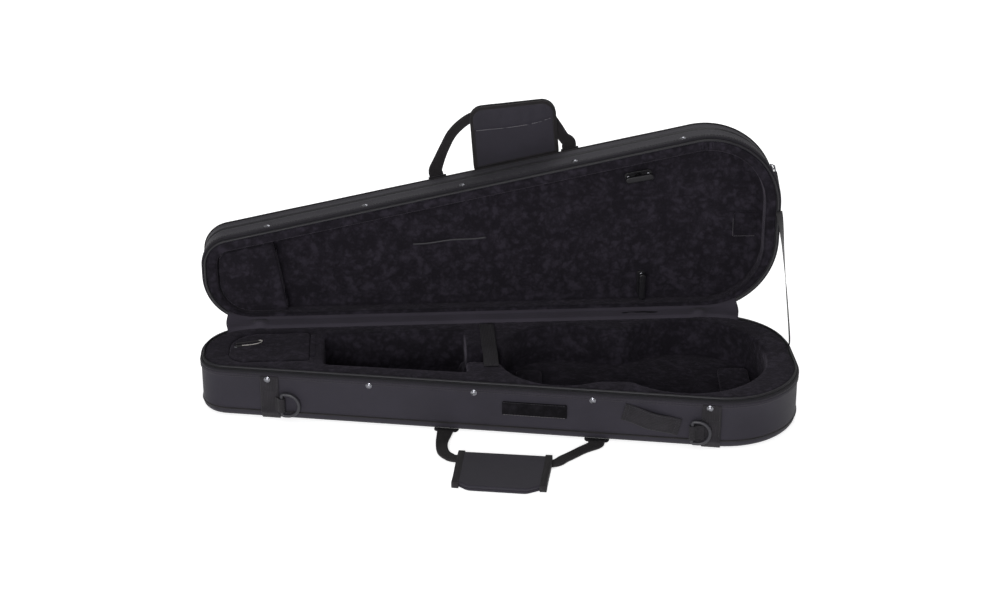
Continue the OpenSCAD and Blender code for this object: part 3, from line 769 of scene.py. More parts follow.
def hollow_path():
    """Both bouts, the waist, the neck channel and the scroll well as one outline."""
    lower, upper, waist, neck = 108 * MM, 88 * MM, 76 * MM, 21 * MM
    lower_c, upper_c = 105 * MM, 272 * MM
    lower_a = math.degrees(math.asin(waist / lower))
    upper_a = 180 - math.degrees(math.asin(waist / upper))
    neck_a = math.degrees(math.asin(neck / upper))
    x0, x1, y0, y1 = -235 * MM, NECK_X[0], 10 * MM, 98 * MM
    channel = [violin(403 * MM, -neck), violin(403 * MM, neck)]
    points = (violin_arc(lower_c, lower, lower_a, 360 - lower_a, 80)
              + violin_arc(upper_c, upper, -upper_a, -neck_a)
              + [channel[0], (x1, y1), (x0, y1), (x0, y0), (x1, -25 * MM), channel[1]]
              + violin_arc(upper_c, upper, neck_a, upper_a))
    return Path(points, True).even(2 * MM).softened(6 * MM)


def bed_floor(x, y):
    """Depth of the bed: deep under the scroll, shallow under the neck, flat under the body."""
    def step(at, width=5 * MM):
        t = min(max((x - at) / width + 0.5, 0), 1)
        return t * t * (3 - 2 * t)
    well, body = 1 - step(NECK_X[0]), step(NECK_X[1])
    return NECK_FLOOR + (WELL_FLOOR - NECK_FLOOR) * well + (BODY_FLOOR - NECK_FLOOR) * body


BOARD_LO, BOARD_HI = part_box("accessory_lid")
SLOT = rounded([(BOARD_LO.x - 0.8 * MM, BOARD_LO.y - 0.8 * MM, 26 * MM),
                (BOARD_HI.x + 0.8 * MM, BOARD_LO.y - 0.8 * MM, 7 * MM),
                (BOARD_HI.x + 0.8 * MM, BOARD_HI.y + 0.8 * MM, 7 * MM),
                (BOARD_LO.x - 0.8 * MM, BOARD_HI.y + 0.8 * MM, 40 * MM)], 3 * MM)


def lining_edge(shape, outer, flush):
    """The lining's rolled outer edge and the strip below it, flush with the roll or at the path."""
    r = 1.2 * MM
    turn = np.linspace(0, math.pi / 2, 5)
    rows = []
    for q, n in zip(outer.p, outer.n):
        roll = [(*(q + r * n * math.cos(a)), LINING_D + r - r * math.sin(a)) for a in turn]
        foot = roll[0][:2] if flush else q
        rows.append([(*foot, 12 * MM)] + roll)
    shape.grid(rows, outer.s, np.arange(6) * MM, wrap_u=True)


def bed():
    hollow = hollow_path()
    outer = rounded(case_corners(7 * MM), 3 * MM)
    shape = Shape(BASE_RIM)
    lining_edge(shape, outer, True)

    def puff(x, y, e):
        soft = (0.35 * MM * noise.noise(Vector((x * 40, y * 40, 2.0)))
                + 0.25 * MM * noise.noise(Vector((x * 150, y * 150, 5))))
        return LINING_D - (0.4 * MM + soft) * min(1, e / (6 * MM))

    fill(shape, [outer.p, hollow.moved(4 * MM), SLOT.moved(2.5 * MM)], 4 * MM, puff)
    basin(shape, hollow, LINING_D, bed_floor, foot_r=4 * MM, uneven=0.8 * MM, seed=4.0)
    slot_rows = []
    for q, n in zip(SLOT.p, SLOT.n):
        slot_rows.append([(*(q + off * MM * n), LINING_D + d * MM) for off, d in
                          ((2.5, 0), (1.4, 0.3), (0.5, 1.0), (0.05, 2.2), (0, 6), (-0.5, 6.8), (-6.5, 7),
                           (-7.8, 7.6), (-8.3, 9), (-8.5, 20),
                           (-8.5, 50), (-9.5, 55.5), (-12, 57.5))])
    shape.grid(slot_rows, SLOT.s, np.arange(13) * 4 * MM, wrap_u=True)
    fill(shape, [np.array([row[-1][:2] for row in slot_rows])], 6 * MM, lambda x, y, e: LINING_D + 57.5 * MM)
    piece(shape, "bed_lining", "plush", "base", "plush", "violin_bed", "bed_top_lining", "accessory_tray")

    for name, node, u0, u1, half in (("lower_support_pad", "lower_pad", 16, 58, 50),
                                     ("upper_support_pad", "upper_pad", 300, 336, 40)):
        pad = Shape(BASE_RIM)
        path = rounded([(*violin(u * MM, w * MM), 8 * MM)
                        for u, w in ((u0, -half), (u1, -half), (u1, half), (u0, half))], 3 * MM)
        pillow(pad, path, BODY_FLOOR - 8 * MM, BODY_FLOOR + 1 * MM, round_r=3.5 * MM, crown=1.2 * MM,
               uneven=0.5 * MM, seed=u0)
        piece(pad, name, "plush", "base", "plush", node)


bed()


def accessory():
    lo, hi = BOARD_LO, BOARD_HI
    path = rounded([(lo.x, lo.y, 25 * MM), (hi.x, lo.y, 6 * MM), (hi.x, hi.y, 6 * MM),
                    (lo.x, hi.y, 39 * MM)], 3 * MM)
    board = Shape(BASE_RIM)
    pillow(board, path, LINING_D + 0.1 * MM, LINING_D + 4.9 * MM, round_r=2.2 * MM, crown=0.5 * MM,
           uneven=0.35 * MM, seed=1.5,
           spacing=4 * MM)
    piece(board, "accessory_board", "plush", "accessory_lid", "plush", "accessory_lid")

    s_lo, s_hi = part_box("accessory_hinge_strip")
    strip = Shape()
    line = [(x, y, s_hi.z + 0.1 * MM) for x,
            y in (((s_lo.x + s_hi.x) / 2, y) for y in np.linspace(s_lo.y, s_hi.y, 12))]
    strap(strip, line, s_hi.x - s_lo.x, 0.6 * MM, (0, 0, 1))
    piece(strip, "board_hinge_strip", "plush", "base", "plush", "accessory_hinge_strip")

    r_lo, r_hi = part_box("pull_ribbon_rivet")
    rivet = Shape()
    centre = Matrix.Translation(((r_lo.x + r_hi.x) / 2, (r_lo.y + r_hi.y) / 2, r_lo.z))
    lathe(rivet, mm((0, 1.3), (0.9, 1.25), (1.7, 0.9), (2.0, 0.55), (2.6, 0.45),
                  (2.6, 0), (0, 0)), centre)
    piece(rivet, "ribbon_rivet", "nickel", "accessory_lid", "black_metal", "pull_ribbon_rivet")

    p_lo, p_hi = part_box("pull_ribbon")
    a = math.radians(14)
    start = np.array([-350, 66]) * MM
    local = [(-5, 0.4), (6, -1.4), (17, -2.4), (27, -0.9), (33, 3.4), (31.5, 6.9), (20, 7.6), (8, 7.7),
             (-3, 7.4)]
    ribbon = Shape()
    line = smooth_line([(*(start + (u * unit(a) + w * unit(a + math.pi / 2)) * MM),
                         (p_lo.z + p_hi.z) / 2) for u, w in local], 1.5 * MM)
    t = np.gradient(line, axis=0)
    face = np.stack([-t[:, 1], t[:, 0], 0 * t[:, 0]], 1)
    strap(ribbon, line, p_hi.z - p_lo.z, 0.5 * MM, face)
    piece(ribbon, "board_pull_ribbon", "ribbon", "pull_ribbon", "ribbon", "pull_ribbon")
    # A light cord along part of the ribbon's top edge: a painted highlight on the ribbon's edge.
    cord = Shape()
    bar(cord, [(x, y, p_hi.z - 0.35 * MM) for x, y, _ in line[6:int(len(line) * 0.62)]], 0.45 * MM, 8)
    piece(cord, "board_pull_ribbon_highlight", "ribbon_highlight", "pull_ribbon", "ribbon")


accessory()


def neck_strap():
    lo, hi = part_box("neck_strap")
    x, z = (lo.x + hi.x) / 2, (lo.z + hi.z) / 2
    belt = Shape()
    line = smooth_line([(x, hi.y, z - 0.6 * MM), (x, hi.y - 10 * MM, z), (x, 70 * MM, z + 0.3 * MM),
                        (x, 44 * MM, z + 0.2 * MM),
                        (x + 0.4 * MM, 24 * MM, z - 0.5 * MM), (x + 0.2 * MM, 5 * MM, z + 0.1 * MM),
                        (x, lo.y, z)], 3 * MM)
    strap(belt, line, hi.x - lo.x, 1.5 * MM, (0, 0, 1))
    piece(belt, "neck_belt", "webbing", "neck_strap", "webbing", "neck_strap")
    p_lo, p_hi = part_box("strap_patch")
    patch = Shape()
    path = box_path(p_lo, p_hi, 2 * MM)
    pillow(patch, path, p_hi.z, p_lo.z - 0.8 * MM, spacing=3 * MM, round_r=0.5 * MM, uneven=0.2 * MM)
    piece(patch, "neck_belt_patch", "hook", "base", "webbing", "strap_patch")
    sewn = Shape()
    for dx in (-7 * MM, 7 * MM):
        points = [(x + dx, y, hi.z + 0.35 * MM) for y in np.linspace(hi.y - 14 * MM, hi.y - 2 * MM, 5)]
        stitches(sewn, points, (0, 0, 1), pitch=4 * MM)
    piece(sewn, "neck_belt_stitches", "thread", "neck_strap", "webbing")


neck_strap()


# ------------------------------------------------------------------ fittings on the front walls

ALONG = unit(WALL_A)
WEB_W = 25 * MM
RIVET_DEPTH = 14.5 * MM
BASE_RIVETS = (-309, -174, -36, 118, 268)
LID_RIVETS = (-309, -174, -40, 114, 262)
DOME = mm((0, 2.0), (1.4, 1.9), (2.5, 1.5), (3.2, 0.95), (3.4, 0.65), (4.1, 0.6),
                                      (4.35, 0.3), (4.3, -1.2), (0, -1.2))


def wall_point(x, u, out, z):
    """A point by the slanted wall: u along it from x, out from it, at height or depth z, all in metres."""
    return (*(np.array([x, front_y(x)]) + u * ALONG + out * OUTWARD), z)


def wall_place(x, z, place=BASE):
    """The wall's own frame at x: X along it, Y up or deeper, Z outward."""
    return (place @ Matrix.Translation((x, front_y(x), z)) @ Matrix.Rotation(WALL_A, 4, "Z")
            @ Matrix.Rotation(math.pi / 2, 4, "X"))


def rivets():
    for body, place, height, xs, node in (("base", BASE, BASE_H - RIVET_DEPTH, BASE_RIVETS, "base_rivets"),
                                          ("lid", LID, RIVET_DEPTH, LID_RIVETS, "lid_rivets")):
        shape = Shape()
        for x in xs:
            on_web = body == "base" and abs(x) > 200
            out = 1.9 * MM if on_web else 0.5 * MM
            lathe(shape, DOME, wall_place(x * MM, height, place) @ Matrix.Translation((0, 0, out)))
        piece(shape, body + "_rivet_heads", "nickel", body, "black_metal", node)


def ring_webs():
    """Webbing down the wall at each ring, sewn round the ring's bar and on under the rounded edge."""
    for side, x, bar_x, way, tail in (("left", -306.5, -290, -1, 9), ("right", 270.5, 246.7, 1, 16)):
        x, bar_x = x * MM, bar_x * MM
        web, line, face = Shape(), [], []
        for z in np.linspace(64.5, 9.5, 24) * MM:
            over_piping = 1.5 * MM * math.exp(-((z - BOTTOM_PIPING_Z) / (3 * MM)) ** 2)
            line.append(wall_point(x, 0,
                                   1.1 * MM + over_piping + 0.2 * MM * noise.noise(Vector((z * 60, x, 1))),
                                   z))
            face.append((*OUTWARD, 0))
        for b in np.radians(np.linspace(12, 52, 6)):
            r = BOTTOM_R + 1.0 * MM
            line.append(wall_point(x, 0, -BOTTOM_R + r * math.cos(b), BOTTOM_R - r * math.sin(b)))
            face.append((*(OUTWARD * math.cos(b)), -math.sin(b)))
        strap(web, line, WEB_W, 1.8 * MM, face)
        piece(web, "ring_webbing_" + side, "webbing", "base", "webbing", "ring_web_" + side)

        loop = Shape()
        route = [(way * tail, 1.0), (way * 5, 1.7), (way * 2, 1.8), (0, 1.65), (-way * 2.7, 2.8),
                 (-way * 3.45, 5), (-way * 2.7, 7.4),
                 (0, 8.4), (way * 2.6, 7.6), (way * 4.3, 5.4), (way * 6.4, 3.6), (way * tail, 2.9)]
        line = smooth_line([wall_point(bar_x, u * MM, out * MM, 24.6 * MM) for u, out in route], 1.0 * MM)
        t = np.gradient(line, axis=0)
        strap(loop, line, 21 * MM, 1.3 * MM, np.stack([-t[:, 1], t[:, 0], 0 * t[:, 0]], 1))
        piece(loop, "ring_sleeve_" + side, "webbing", "base", "webbing", "ring_loop_" + side)

        sewn = Shape()
        half, z0, z1 = 10.3, 42, 63.2
        box_line = [(-half, z1), (half, z1), (half, z0), (-half, z0), (-half, z1)]
        for (u0, v0), (u1, v1) in zip(box_line, box_line[1:]):
            points = [wall_point(x, u * MM, 2.15 * MM, v * MM) for u, v in
                      zip(np.linspace(u0, u1, 8), np.linspace(v0, v1, 8))]
            stitches(sewn, points, (*OUTWARD, 0), pitch=3.6 * MM, length=2.6 * MM)
        for u in (-half, half):
            points = [wall_point(x, u * MM, 2.15 * MM, v * MM) for v in np.linspace(41, 18, 8)]
            stitches(sewn, points, (*OUTWARD, 0), pitch=3.6 * MM, length=2.6 * MM)
        piece(sewn, "ring_web_stitches_" + side, "thread", "base", "webbing")

        ring = Shape()
        outline = rounded(mm((0, -16, 2.6), (23.3, -16, 15.9), (23.3, 16, 15.9),
                           (0, 16, 2.6)), 1.2 * MM)
        points = [wall_point(bar_x, u, 5 * MM, 24.6 * MM + z) for u, z in outline.p]
        bar(ring, points, 2.35 * MM, 14, closed=True, up=(*OUTWARD, 0))
        piece(ring, "d_ring_moulding_" + side, "ring", "d_ring_" + side, "ring_plastic", "d_ring_" + side)


def side_grip():
    """Webbing grip that bows out between its two sewn ends, slanting down to the right."""
    x, z, slant, half = 194 * MM, 38 * MM, math.radians(14), 30 * MM

    def point(u, v, lift=0.0):
        bow = 0.5 * (1 + math.cos(math.pi * min(1, abs(u) / half)))
        out = 1.1 * MM + 5.3 * MM * bow ** 0.8 + lift
        return wall_point(x, u * math.cos(slant) + v * math.sin(slant), out,
                          z - u * math.sin(slant) + v * math.cos(slant))

    us = np.linspace(-38, 38, 44) * MM
    shape = Shape()
    strap(shape, [point(u, 0) for u in us], WEB_W, 2.0 * MM, (*OUTWARD, 0))
    piece(shape, "side_grip_webbing", "webbing", "base", "webbing", "side_grip")
    sewn = Shape()
    for u in (-36.3, -32, 32, 36.3):
        points = [point(u * MM, v * MM, 1.15 * MM) for v in np.linspace(-10.5, 10.5, 8)]
        stitches(sewn, points, (*OUTWARD, 0), pitch=3.4 * MM, length=2.4 * MM)
    for v in (-10.8, 10.8):
        points = [point(u, v * MM, 1.1 * MM) for u in us[2:-2]]
        stitches(sewn, points, (*OUTWARD, 0), pitch=3.8 * MM, length=2.7 * MM)
    piece(sewn, "side_grip_stitches", "thread", "base", "webbing")


def rectangle(half_w, half_h, r, step):
    return box_path((-half_w, -half_h), (half_w, half_h), r, step)


def hook_patch():
    """Long patch of hook pile sewn to the wall."""
    place = wall_place(43 * MM, 40 * MM)
    shape = Shape(place)
    pillow(shape, rectangle(43 * MM, 9.8 * MM, 1 * MM, 1.6 * MM), 1.5 * MM, -0.5 * MM, spacing=1.4 * MM,
           round_r=0.4 * MM,
           lift=lambda x, y, e: 0.55 * MM * min(1, e / (1.5 * MM))
           * (0.5 + noise.noise(Vector((x * 900, y * 900, 3)))))
    piece(shape, "hook_pile_patch", "hook", "base", "webbing", "hook_patch")
    for name, mat, y in (("hook_patch_stitches", "thread", 9.0),
                         ("hook_patch_stitches_low", "light_thread", -9.0)):
        sewn = Shape(place)
        points = [(x, y * MM, 1.75 * MM) for x in np.linspace(-42, 42, 20) * MM]
        stitches(sewn, points, (0, 0, 1), pitch=3.6 * MM, length=2.9 * MM, thick=0.5 * MM)
        piece(sewn, name, mat, "base", "webbing")


rivets()
ring_webs()
side_grip()
hook_patch()


# ------------------------------------------------------------------ carrying handles

TAB_X = (-73 * MM, 124 * MM)
LID_TAB_X = (-73 * MM, 112 * MM)
BASE_ROUTE = [(-74, -61.5, 11), (-76, -72, 10), (-80, -96, 8), (-79, -118, 8), (-72, -131, 8),
              (-60, -138, 8), (0, -149, 8), (58, -158, 8),
              (78, -145, 8), (102, -125, 8), (120.9, -111.3, 10), (123, -101.5, 11)]
LID_ROUTE = [(-73.1, -51.5, 10), (-74, -55.9, 10), (-75, -62, 9.5), (-70, -76, 8), (-62, -95, 7),
             (-50, -117, 7), (-30, -135, 7), (-10, -142, 7), (30, -146, 7),
             (62, -148, 7), (82, -140, 7), (95, -123, 7), (104, -107, 8), (111.6, -99.5, 9.5),
             (112, -93.3, 10), (112.9, -88.9, 10)]


def route_strap(shape, route, height, thick, ripple_z=0.0):
    """A strap along plan points (x, y, half width in mm), its face to the local Z."""
    line = smooth_line([(x * MM, y * MM, height, w * MM) for x, y, w in route], 2.5 * MM)
    s = running(line[:, :3])
    line[:, 2] += [ripple_z * noise.noise(Vector((v * 25, 0, 3))) for v in s]
    strap(shape, line[:, :3], 2 * line[:, 3], thick, (0, 0, 1))
    return line


def edge_stitches(line, off, lift, way=1.0):
    """Two rows of stitches near the edges of a strap that route_strap laid."""
    sewn_lines = []
    t = np.gradient(line[:, :2], axis=0)
    t /= np.linalg.norm(t, axis=1)[:, None]
    n = np.stack([-t[:, 1], t[:, 0]], 1)
    for side in (-1, 1):
        p = line[:, :2] + side * n * (line[:, 3] - off)[:, None]
        sewn_lines.append(np.column_stack([p, line[:, 2] + way * lift]))
    return sewn_lines


def base_handle():
    tabs = Shape()
    for x in TAB_X:
        line = [(*(np.array([x, front_y(x)]) + out * MM * OUTWARD), z * MM)
                for out, z in ((-5.5, 0.6), (-3, 0.55), (0, 0.5), (2, 0.5), (3.4, 0.45))]
        strap(tabs, line, np.array([33, 33, 32, 30, 27]) * MM, 0.8 * MM, (0, 0, 1))
    piece(tabs, "base_handle_end_tabs", "webbing", "base", "webbing", "base_handle_tabs")

    belt = Shape()
    line = route_strap(belt, BASE_ROUTE, 3.0 * MM, 3.0 * MM, 0.5 * MM)
    piece(belt, "base_handle_webbing", "binding", "base_handle", "webbing", "base_handle_strap")
    sewn = Shape()
    for points in edge_stitches(line, 1.8 * MM, 1.6 * MM):
        stitches(sewn, points, (0, 0, 1), pitch=3.6 * MM, length=2.6 * MM)
    piece(sewn, "base_handle_stitches", "thread", "base_handle", "webbing")

    place = Matrix.Translation((-6 * MM, -180 * MM, 0)) @ Matrix.Rotation(math.radians(-9.5), 4, "Z")
    panel = rounded(mm((-55, -33, 4), (-40, -44, 15), (36, -45, 17), (55, -33, 5), (55, 42, 2),
                       (-55, 42.5, 2)), 2 * MM)

    def creases(x, y, e):
        over_strap = 0.5 * MM * math.exp(-((y - 31 * MM) / (8 * MM)) ** 2)
        folds = 0.45 * MM * noise.noise(Vector((x * 22, y * 45, 8)))
        return (over_strap + folds) * min(1, e / (5 * MM))

    wrap = Shape(place)
    pillow(wrap, panel, 9.2 * MM, 5.1 * MM, spacing=3 * MM, round_r=1.9 * MM, crown=0.3 * MM, lift=creases)
    under = Path(panel.moved(-0.8 * MM), True)
    pillow(wrap, under, 0.4 * MM, 4.9 * MM, spacing=6 * MM, round_r=1.9 * MM)
    bar(wrap, [(x * MM, 38.3 * MM, 4.9 * MM) for x in np.linspace(-54, 54, 30)], 4.3 * MM, 20)
    piece(wrap, "base_handle_wrap", "cover", "base_handle", "cover", "base_handle_grip")

    bands, sewn = Shape(place), Shape(place)
    for side, low in ((-1, -37), (1, -35.5)):
        y = np.linspace(low, 43.3, 26)
        centre = [(side * (56.4 + 0.5 * math.sin(v / 17)) * MM, v * MM, 5.05 * MM) for v in y]
        strap(bands, centre, 9.4 * MM, 9.6 * MM, (0, 0, 1))
        for off in (-3.3, 3.3):
            points = [(c[0] + off * MM, c[1], 9.95 * MM) for c in centre]
            stitches(sewn, points, (0, 0, 1), pitch=3.4 * MM, length=2.6 * MM,
                     thick=0.55 * MM)
    piece(bands, "base_handle_bands", "binding", "base_handle", "cover")
    piece(sewn, "base_handle_band_stitches", "thread", "base_handle", "cover")


def lid_handle():
    tabs, sewn = Shape(LID), Shape(LID)
    for x in LID_TAB_X:
        inward = -OUTWARD
        base_p = np.array([x, front_y(x)])
        route = smooth_line([(*(base_p + v * MM * inward), d * MM) for v, d in
                             ((60, 72.9), (45, 72.9), (27, 73.1), (17, 74.8), (10, 75.5), (5.5, 75.7),
                              (3, 75.3), (1.6, 74.6), (0.8, 73.9))], 2 * MM)
        strap(tabs, route, WEB_W, 1.9 * MM, (0, 0, 1))
        corners = [(-9.5, 31), (9.5, 31), (9.5, 57), (-9.5, 57), (-9.5, 31), (9.5, 57)]
        for (u0, v0), (u1, v1) in list(zip(corners, corners[1:])) + [((9.5, 31), (-9.5, 57))]:
            points = [(*(base_p + u * MM * ALONG + v * MM * inward), 73.95 * MM) for u, v in
                      zip(np.linspace(u0, u1, 8), np.linspace(v0, v1, 8))]
            stitches(sewn, points, (0, 0, 1), pitch=3.6 * MM, length=2.7 * MM)
    piece(tabs, "lid_handle_end_tabs", "webbing", "music_pocket", "webbing", "lid_handle_tabs")
    piece(sewn, "lid_handle_tab_stitches", "light_thread", "music_pocket", "webbing")

    belt, sewn = Shape(LID), Shape(LID)
    line = route_strap(belt, LID_ROUTE, 80 * MM, 3.2 * MM, 0.8 * MM)
    piece(belt, "lid_handle_webbing", "binding", "lid_handle", "webbing", "lid_handle_strap")
    for way in (-1, 1):
        for points in edge_stitches(line, 1.8 * MM, 1.7 * MM, way):
            stitches(sewn, points, (0, 0, way), pitch=3.6 * MM, length=2.6 * MM)
    piece(sewn, "lid_handle_stitches", "thread", "lid_handle", "webbing")

    flap = rounded([(-20.5 * MM, front_y(-20.5 * MM) + 5 * MM, 3 * MM), (-27 * MM, -152 * MM, 17 * MM),
                    (91 * MM, -163 * MM, 19 * MM),
                    (97 * MM, front_y(97 * MM) + 5 * MM, 3 * MM)], 2 * MM)

    def seam_y(x):
        share = (x + 25 * MM) / (115 * MM)
        return (-119.5 - 10 * share - 9.5 * share ** 5) * MM

    def lift(x, y, e):
        above = 1 / (1 + math.exp((y - seam_y(x)) / (1.6 * MM)))
        pleat = 0.8 * MM * noise.noise(Vector((x * 120, y * 12,
                                               1.0))) + 0.5 * MM * noise.noise(Vector((x * 45, y * 30, 4.0)))
        soft = 0.5 * MM * noise.noise(Vector((x * 20, y * 26, 9.0)))
        seam = -0.7 * MM * math.exp(-((y - seam_y(x)) / (1.5 * MM)) ** 2)
        return min(1, e / (5 * MM)) * (above * (1.4 * MM + pleat) + (1 - above) * soft + seam)

    wrap, edging, sewn, seam = Shape(LID), Shape(LID), Shape(LID), Shape(LID)
    for outer, inner, way in ((75.2, 78.0, -1), (84.8, 82.0, 1)):
        pillow(wrap, Path(flap.moved(-1 * MM), True), outer * MM, inner * MM, spacing=2.6 * MM,
               round_r=1.2 * MM, crown=0.3 * MM, lift=lift)
        profile = [(-5.0, 0.4), (-4.9, -0.35), (-2.5, -0.55), (-0.2, -0.3), (0.7, 0.5), (0.7, 2.4),
                   (-0.1, 3.1), (-5.0, 3.1)]
        sweep(edging, flap, [(off * MM, (outer - way * d) * MM) for off, d in profile], solid=True,
              wave=ripple(2.0 + way, 0.35 * MM, 25 * MM))
        points = [(*(q - 3.9 * MM * n), (outer + way * 0.5) * MM) for q, n in zip(flap.p, flap.n)]
        stitches(sewn, points, (0, 0, way), pitch=3.4 * MM, length=2.6 * MM, thick=0.5 * MM,
                 closed=True)
        xs = np.linspace(-18, 88, 50) * MM
        points = [(x, seam_y(x), (outer + way * 0.35) * MM) for x in xs]
        stitches(seam, points, (0, 0, way), pitch=3.1 * MM, length=2.75 * MM, thick=0.75 * MM)
    bar(wrap, [(x * MM, (-146.5 - (x + 12) * 0.096) * MM, 80 * MM) for x in np.linspace(-14, 78, 30)],
        4.7 * MM, 20)
    piece(wrap, "lid_handle_wrap", "cover", "lid_handle", "cover", "lid_handle_grip")
    piece(edging, "lid_handle_edging", "binding", "lid_handle", "cover")
    piece(sewn, "lid_handle_edging_stitches", "thread", "lid_handle", "cover")
    piece(seam, "lid_handle_seam", "light_thread", "lid_handle", "cover")


base_handle()
lid_handle()


# ------------------------------------------------------------------ lid, outside and pocket

POCKET_CUT = 40.65 * MM
ZIP_LOW_D, ZIP_HIGH_D = 39.1 * MM, 42.2 * MM
POCKET_COIL_R = 1.25 * MM
POCKET_PIPING_D = LID_D - 10 * MM
PANEL_R = 8 * MM


def small_zip(body, prefix, depth, way, node):
    """One half of the pocket's zip: a toothed coil and its tape, which lies on the side given by way."""
    toothed_coil(prefix + "_coil", body, node, LID, zip_path(0.75 * MM), POCKET_COIL_R, 0.78, -0.7 * MM,
                 depth)
    tape = Shape(LID)
    sweep(tape, zip_path(4 * MM),
          [(-1.5 * MM, depth), (-0.75 * MM, depth + way * 0.9 * MM), (-0.1 * MM, depth + way * 1.6 * MM),
                                   (-0.1 * MM, depth + way * 2.6 * MM),
                                   (-1.5 * MM, depth + way * 2.6 * MM)], solid=True)
    piece(tape, prefix + "_tape", "tape", body, "zip")


def lid_outside():
    depths = np.linspace(8.8 * MM, ZIP_LOW_D - 2.2 * MM, 10)
    covered_wall("lid_side_wall", "lid", "lid_side_cover", LID, depths, 2.0 * MM, 0.6 * MM,
                 ripple(21.0, 0.9 * MM, 110 * MM))

    plate = Shape(LID)
    pillow(plate, Path(OUTLINE.moved(-1.6 * MM), True), 39.4 * MM, 35 * MM, spacing=14 * MM,
           round_r=0.8 * MM, uneven=0.5 * MM)
    piece(plate, "pocket_inner_lining", "band", "lid", "cover", "lid_shell")
    small_zip("lid", "pocket_zip_low", ZIP_LOW_D, -1, "pocket_zip_lower")


def music_pocket():
    small_zip("music_pocket", "pocket_zip_high", ZIP_HIGH_D, 1, "pocket_zip_upper")
    depths = np.linspace(ZIP_HIGH_D + 2.2 * MM, POCKET_PIPING_D - 1 * MM, 8)
    covered_wall("pocket_wall", "music_pocket", "pocket_gusset", LID, depths, 1.5 * MM, 0.4 * MM,
                 ripple(31.0, 0.8 * MM, 100 * MM))

    bead = Shape(LID)
    sweep(bead, OUTLINE, tube_profile(-0.3 * MM, POCKET_PIPING_D, 1.7 * MM, 8), solid=True,
          wave=ripple(33.0, 0.25 * MM, 80 * MM))
    piece(bead, "pocket_edge_piping", "binding", "music_pocket", "piping", "pocket_piping")

    panel = Shape(LID)
    turn = np.linspace(0, math.pi / 2, 7)
    edge = [(-1.2 * MM, LID_D - PANEL_R - 1.5 * MM), (-0.1 * MM, LID_D - PANEL_R - 1 * MM)]
    edge += [(-PANEL_R + PANEL_R * math.cos(a), LID_D - PANEL_R + PANEL_R * math.sin(a)) for a in turn]
    sweep(panel, OUTLINE, edge)

    def swell(x, y, e):
        bulge = 0.8 * MM * (1 - math.exp(-e / (60 * MM)))
        return LID_D + bulge + 0.5 * MM * min(1, e / (30 * MM)) * noise.noise(Vector((x * 7, y * 7, 6)))

    fill(panel, [OUTLINE.moved(-PANEL_R)], 9 * MM, swell)
    sweep(panel, OUTLINE,
          [(-1.4 * MM, LID_D - PANEL_R - 1.5 * MM), (-3 * MM, LID_D - 5 * MM), (-PANEL_R, LID_D - 2.5 * MM)])
    fill(panel, [OUTLINE.moved(-PANEL_R)], 14 * MM, lambda x, y, e: LID_D - 2.5 * MM)
    piece(panel, "pocket_outer_panel", "cover", "music_pocket", "cover", "pocket_panel")

    s_lo, s_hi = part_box("pocket_hinge_strip")
    strip = Shape(LID)
    depths = np.linspace(37.2 * MM, 44.6 * MM, 9)
    y = Y_BACK
    rows = [[(x, y - 0.1 * MM + 0.5 * MM * math.sin(math.pi * (d - depths[0]) / (depths[-1] - depths[0])),
              d) for d in depths]
            + [(x, y - 1.2 * MM, d) for d in depths[::-1]] for x in np.linspace(s_lo.x, s_hi.x, 60)]
    strip.grid(rows, np.linspace(s_lo.x, s_hi.x, 60), running([(r[1], r[2]) for r in rows[0]]), wrap_v=True)
    bending_piece(strip, "pocket_fabric_hinge", "cover", "cover", ("lid", "music_pocket"),
                  LID @ Vector((0, y, 38.6 * MM)), LID @ Vector((0, y, 43.4 * MM)), "pocket_hinge_strip")


WIDE_CORNER = np.array([X_RIGHT - WIDE_R, CASE_LO.y + WIDE_R])
SLIDER_A = math.radians(-25)


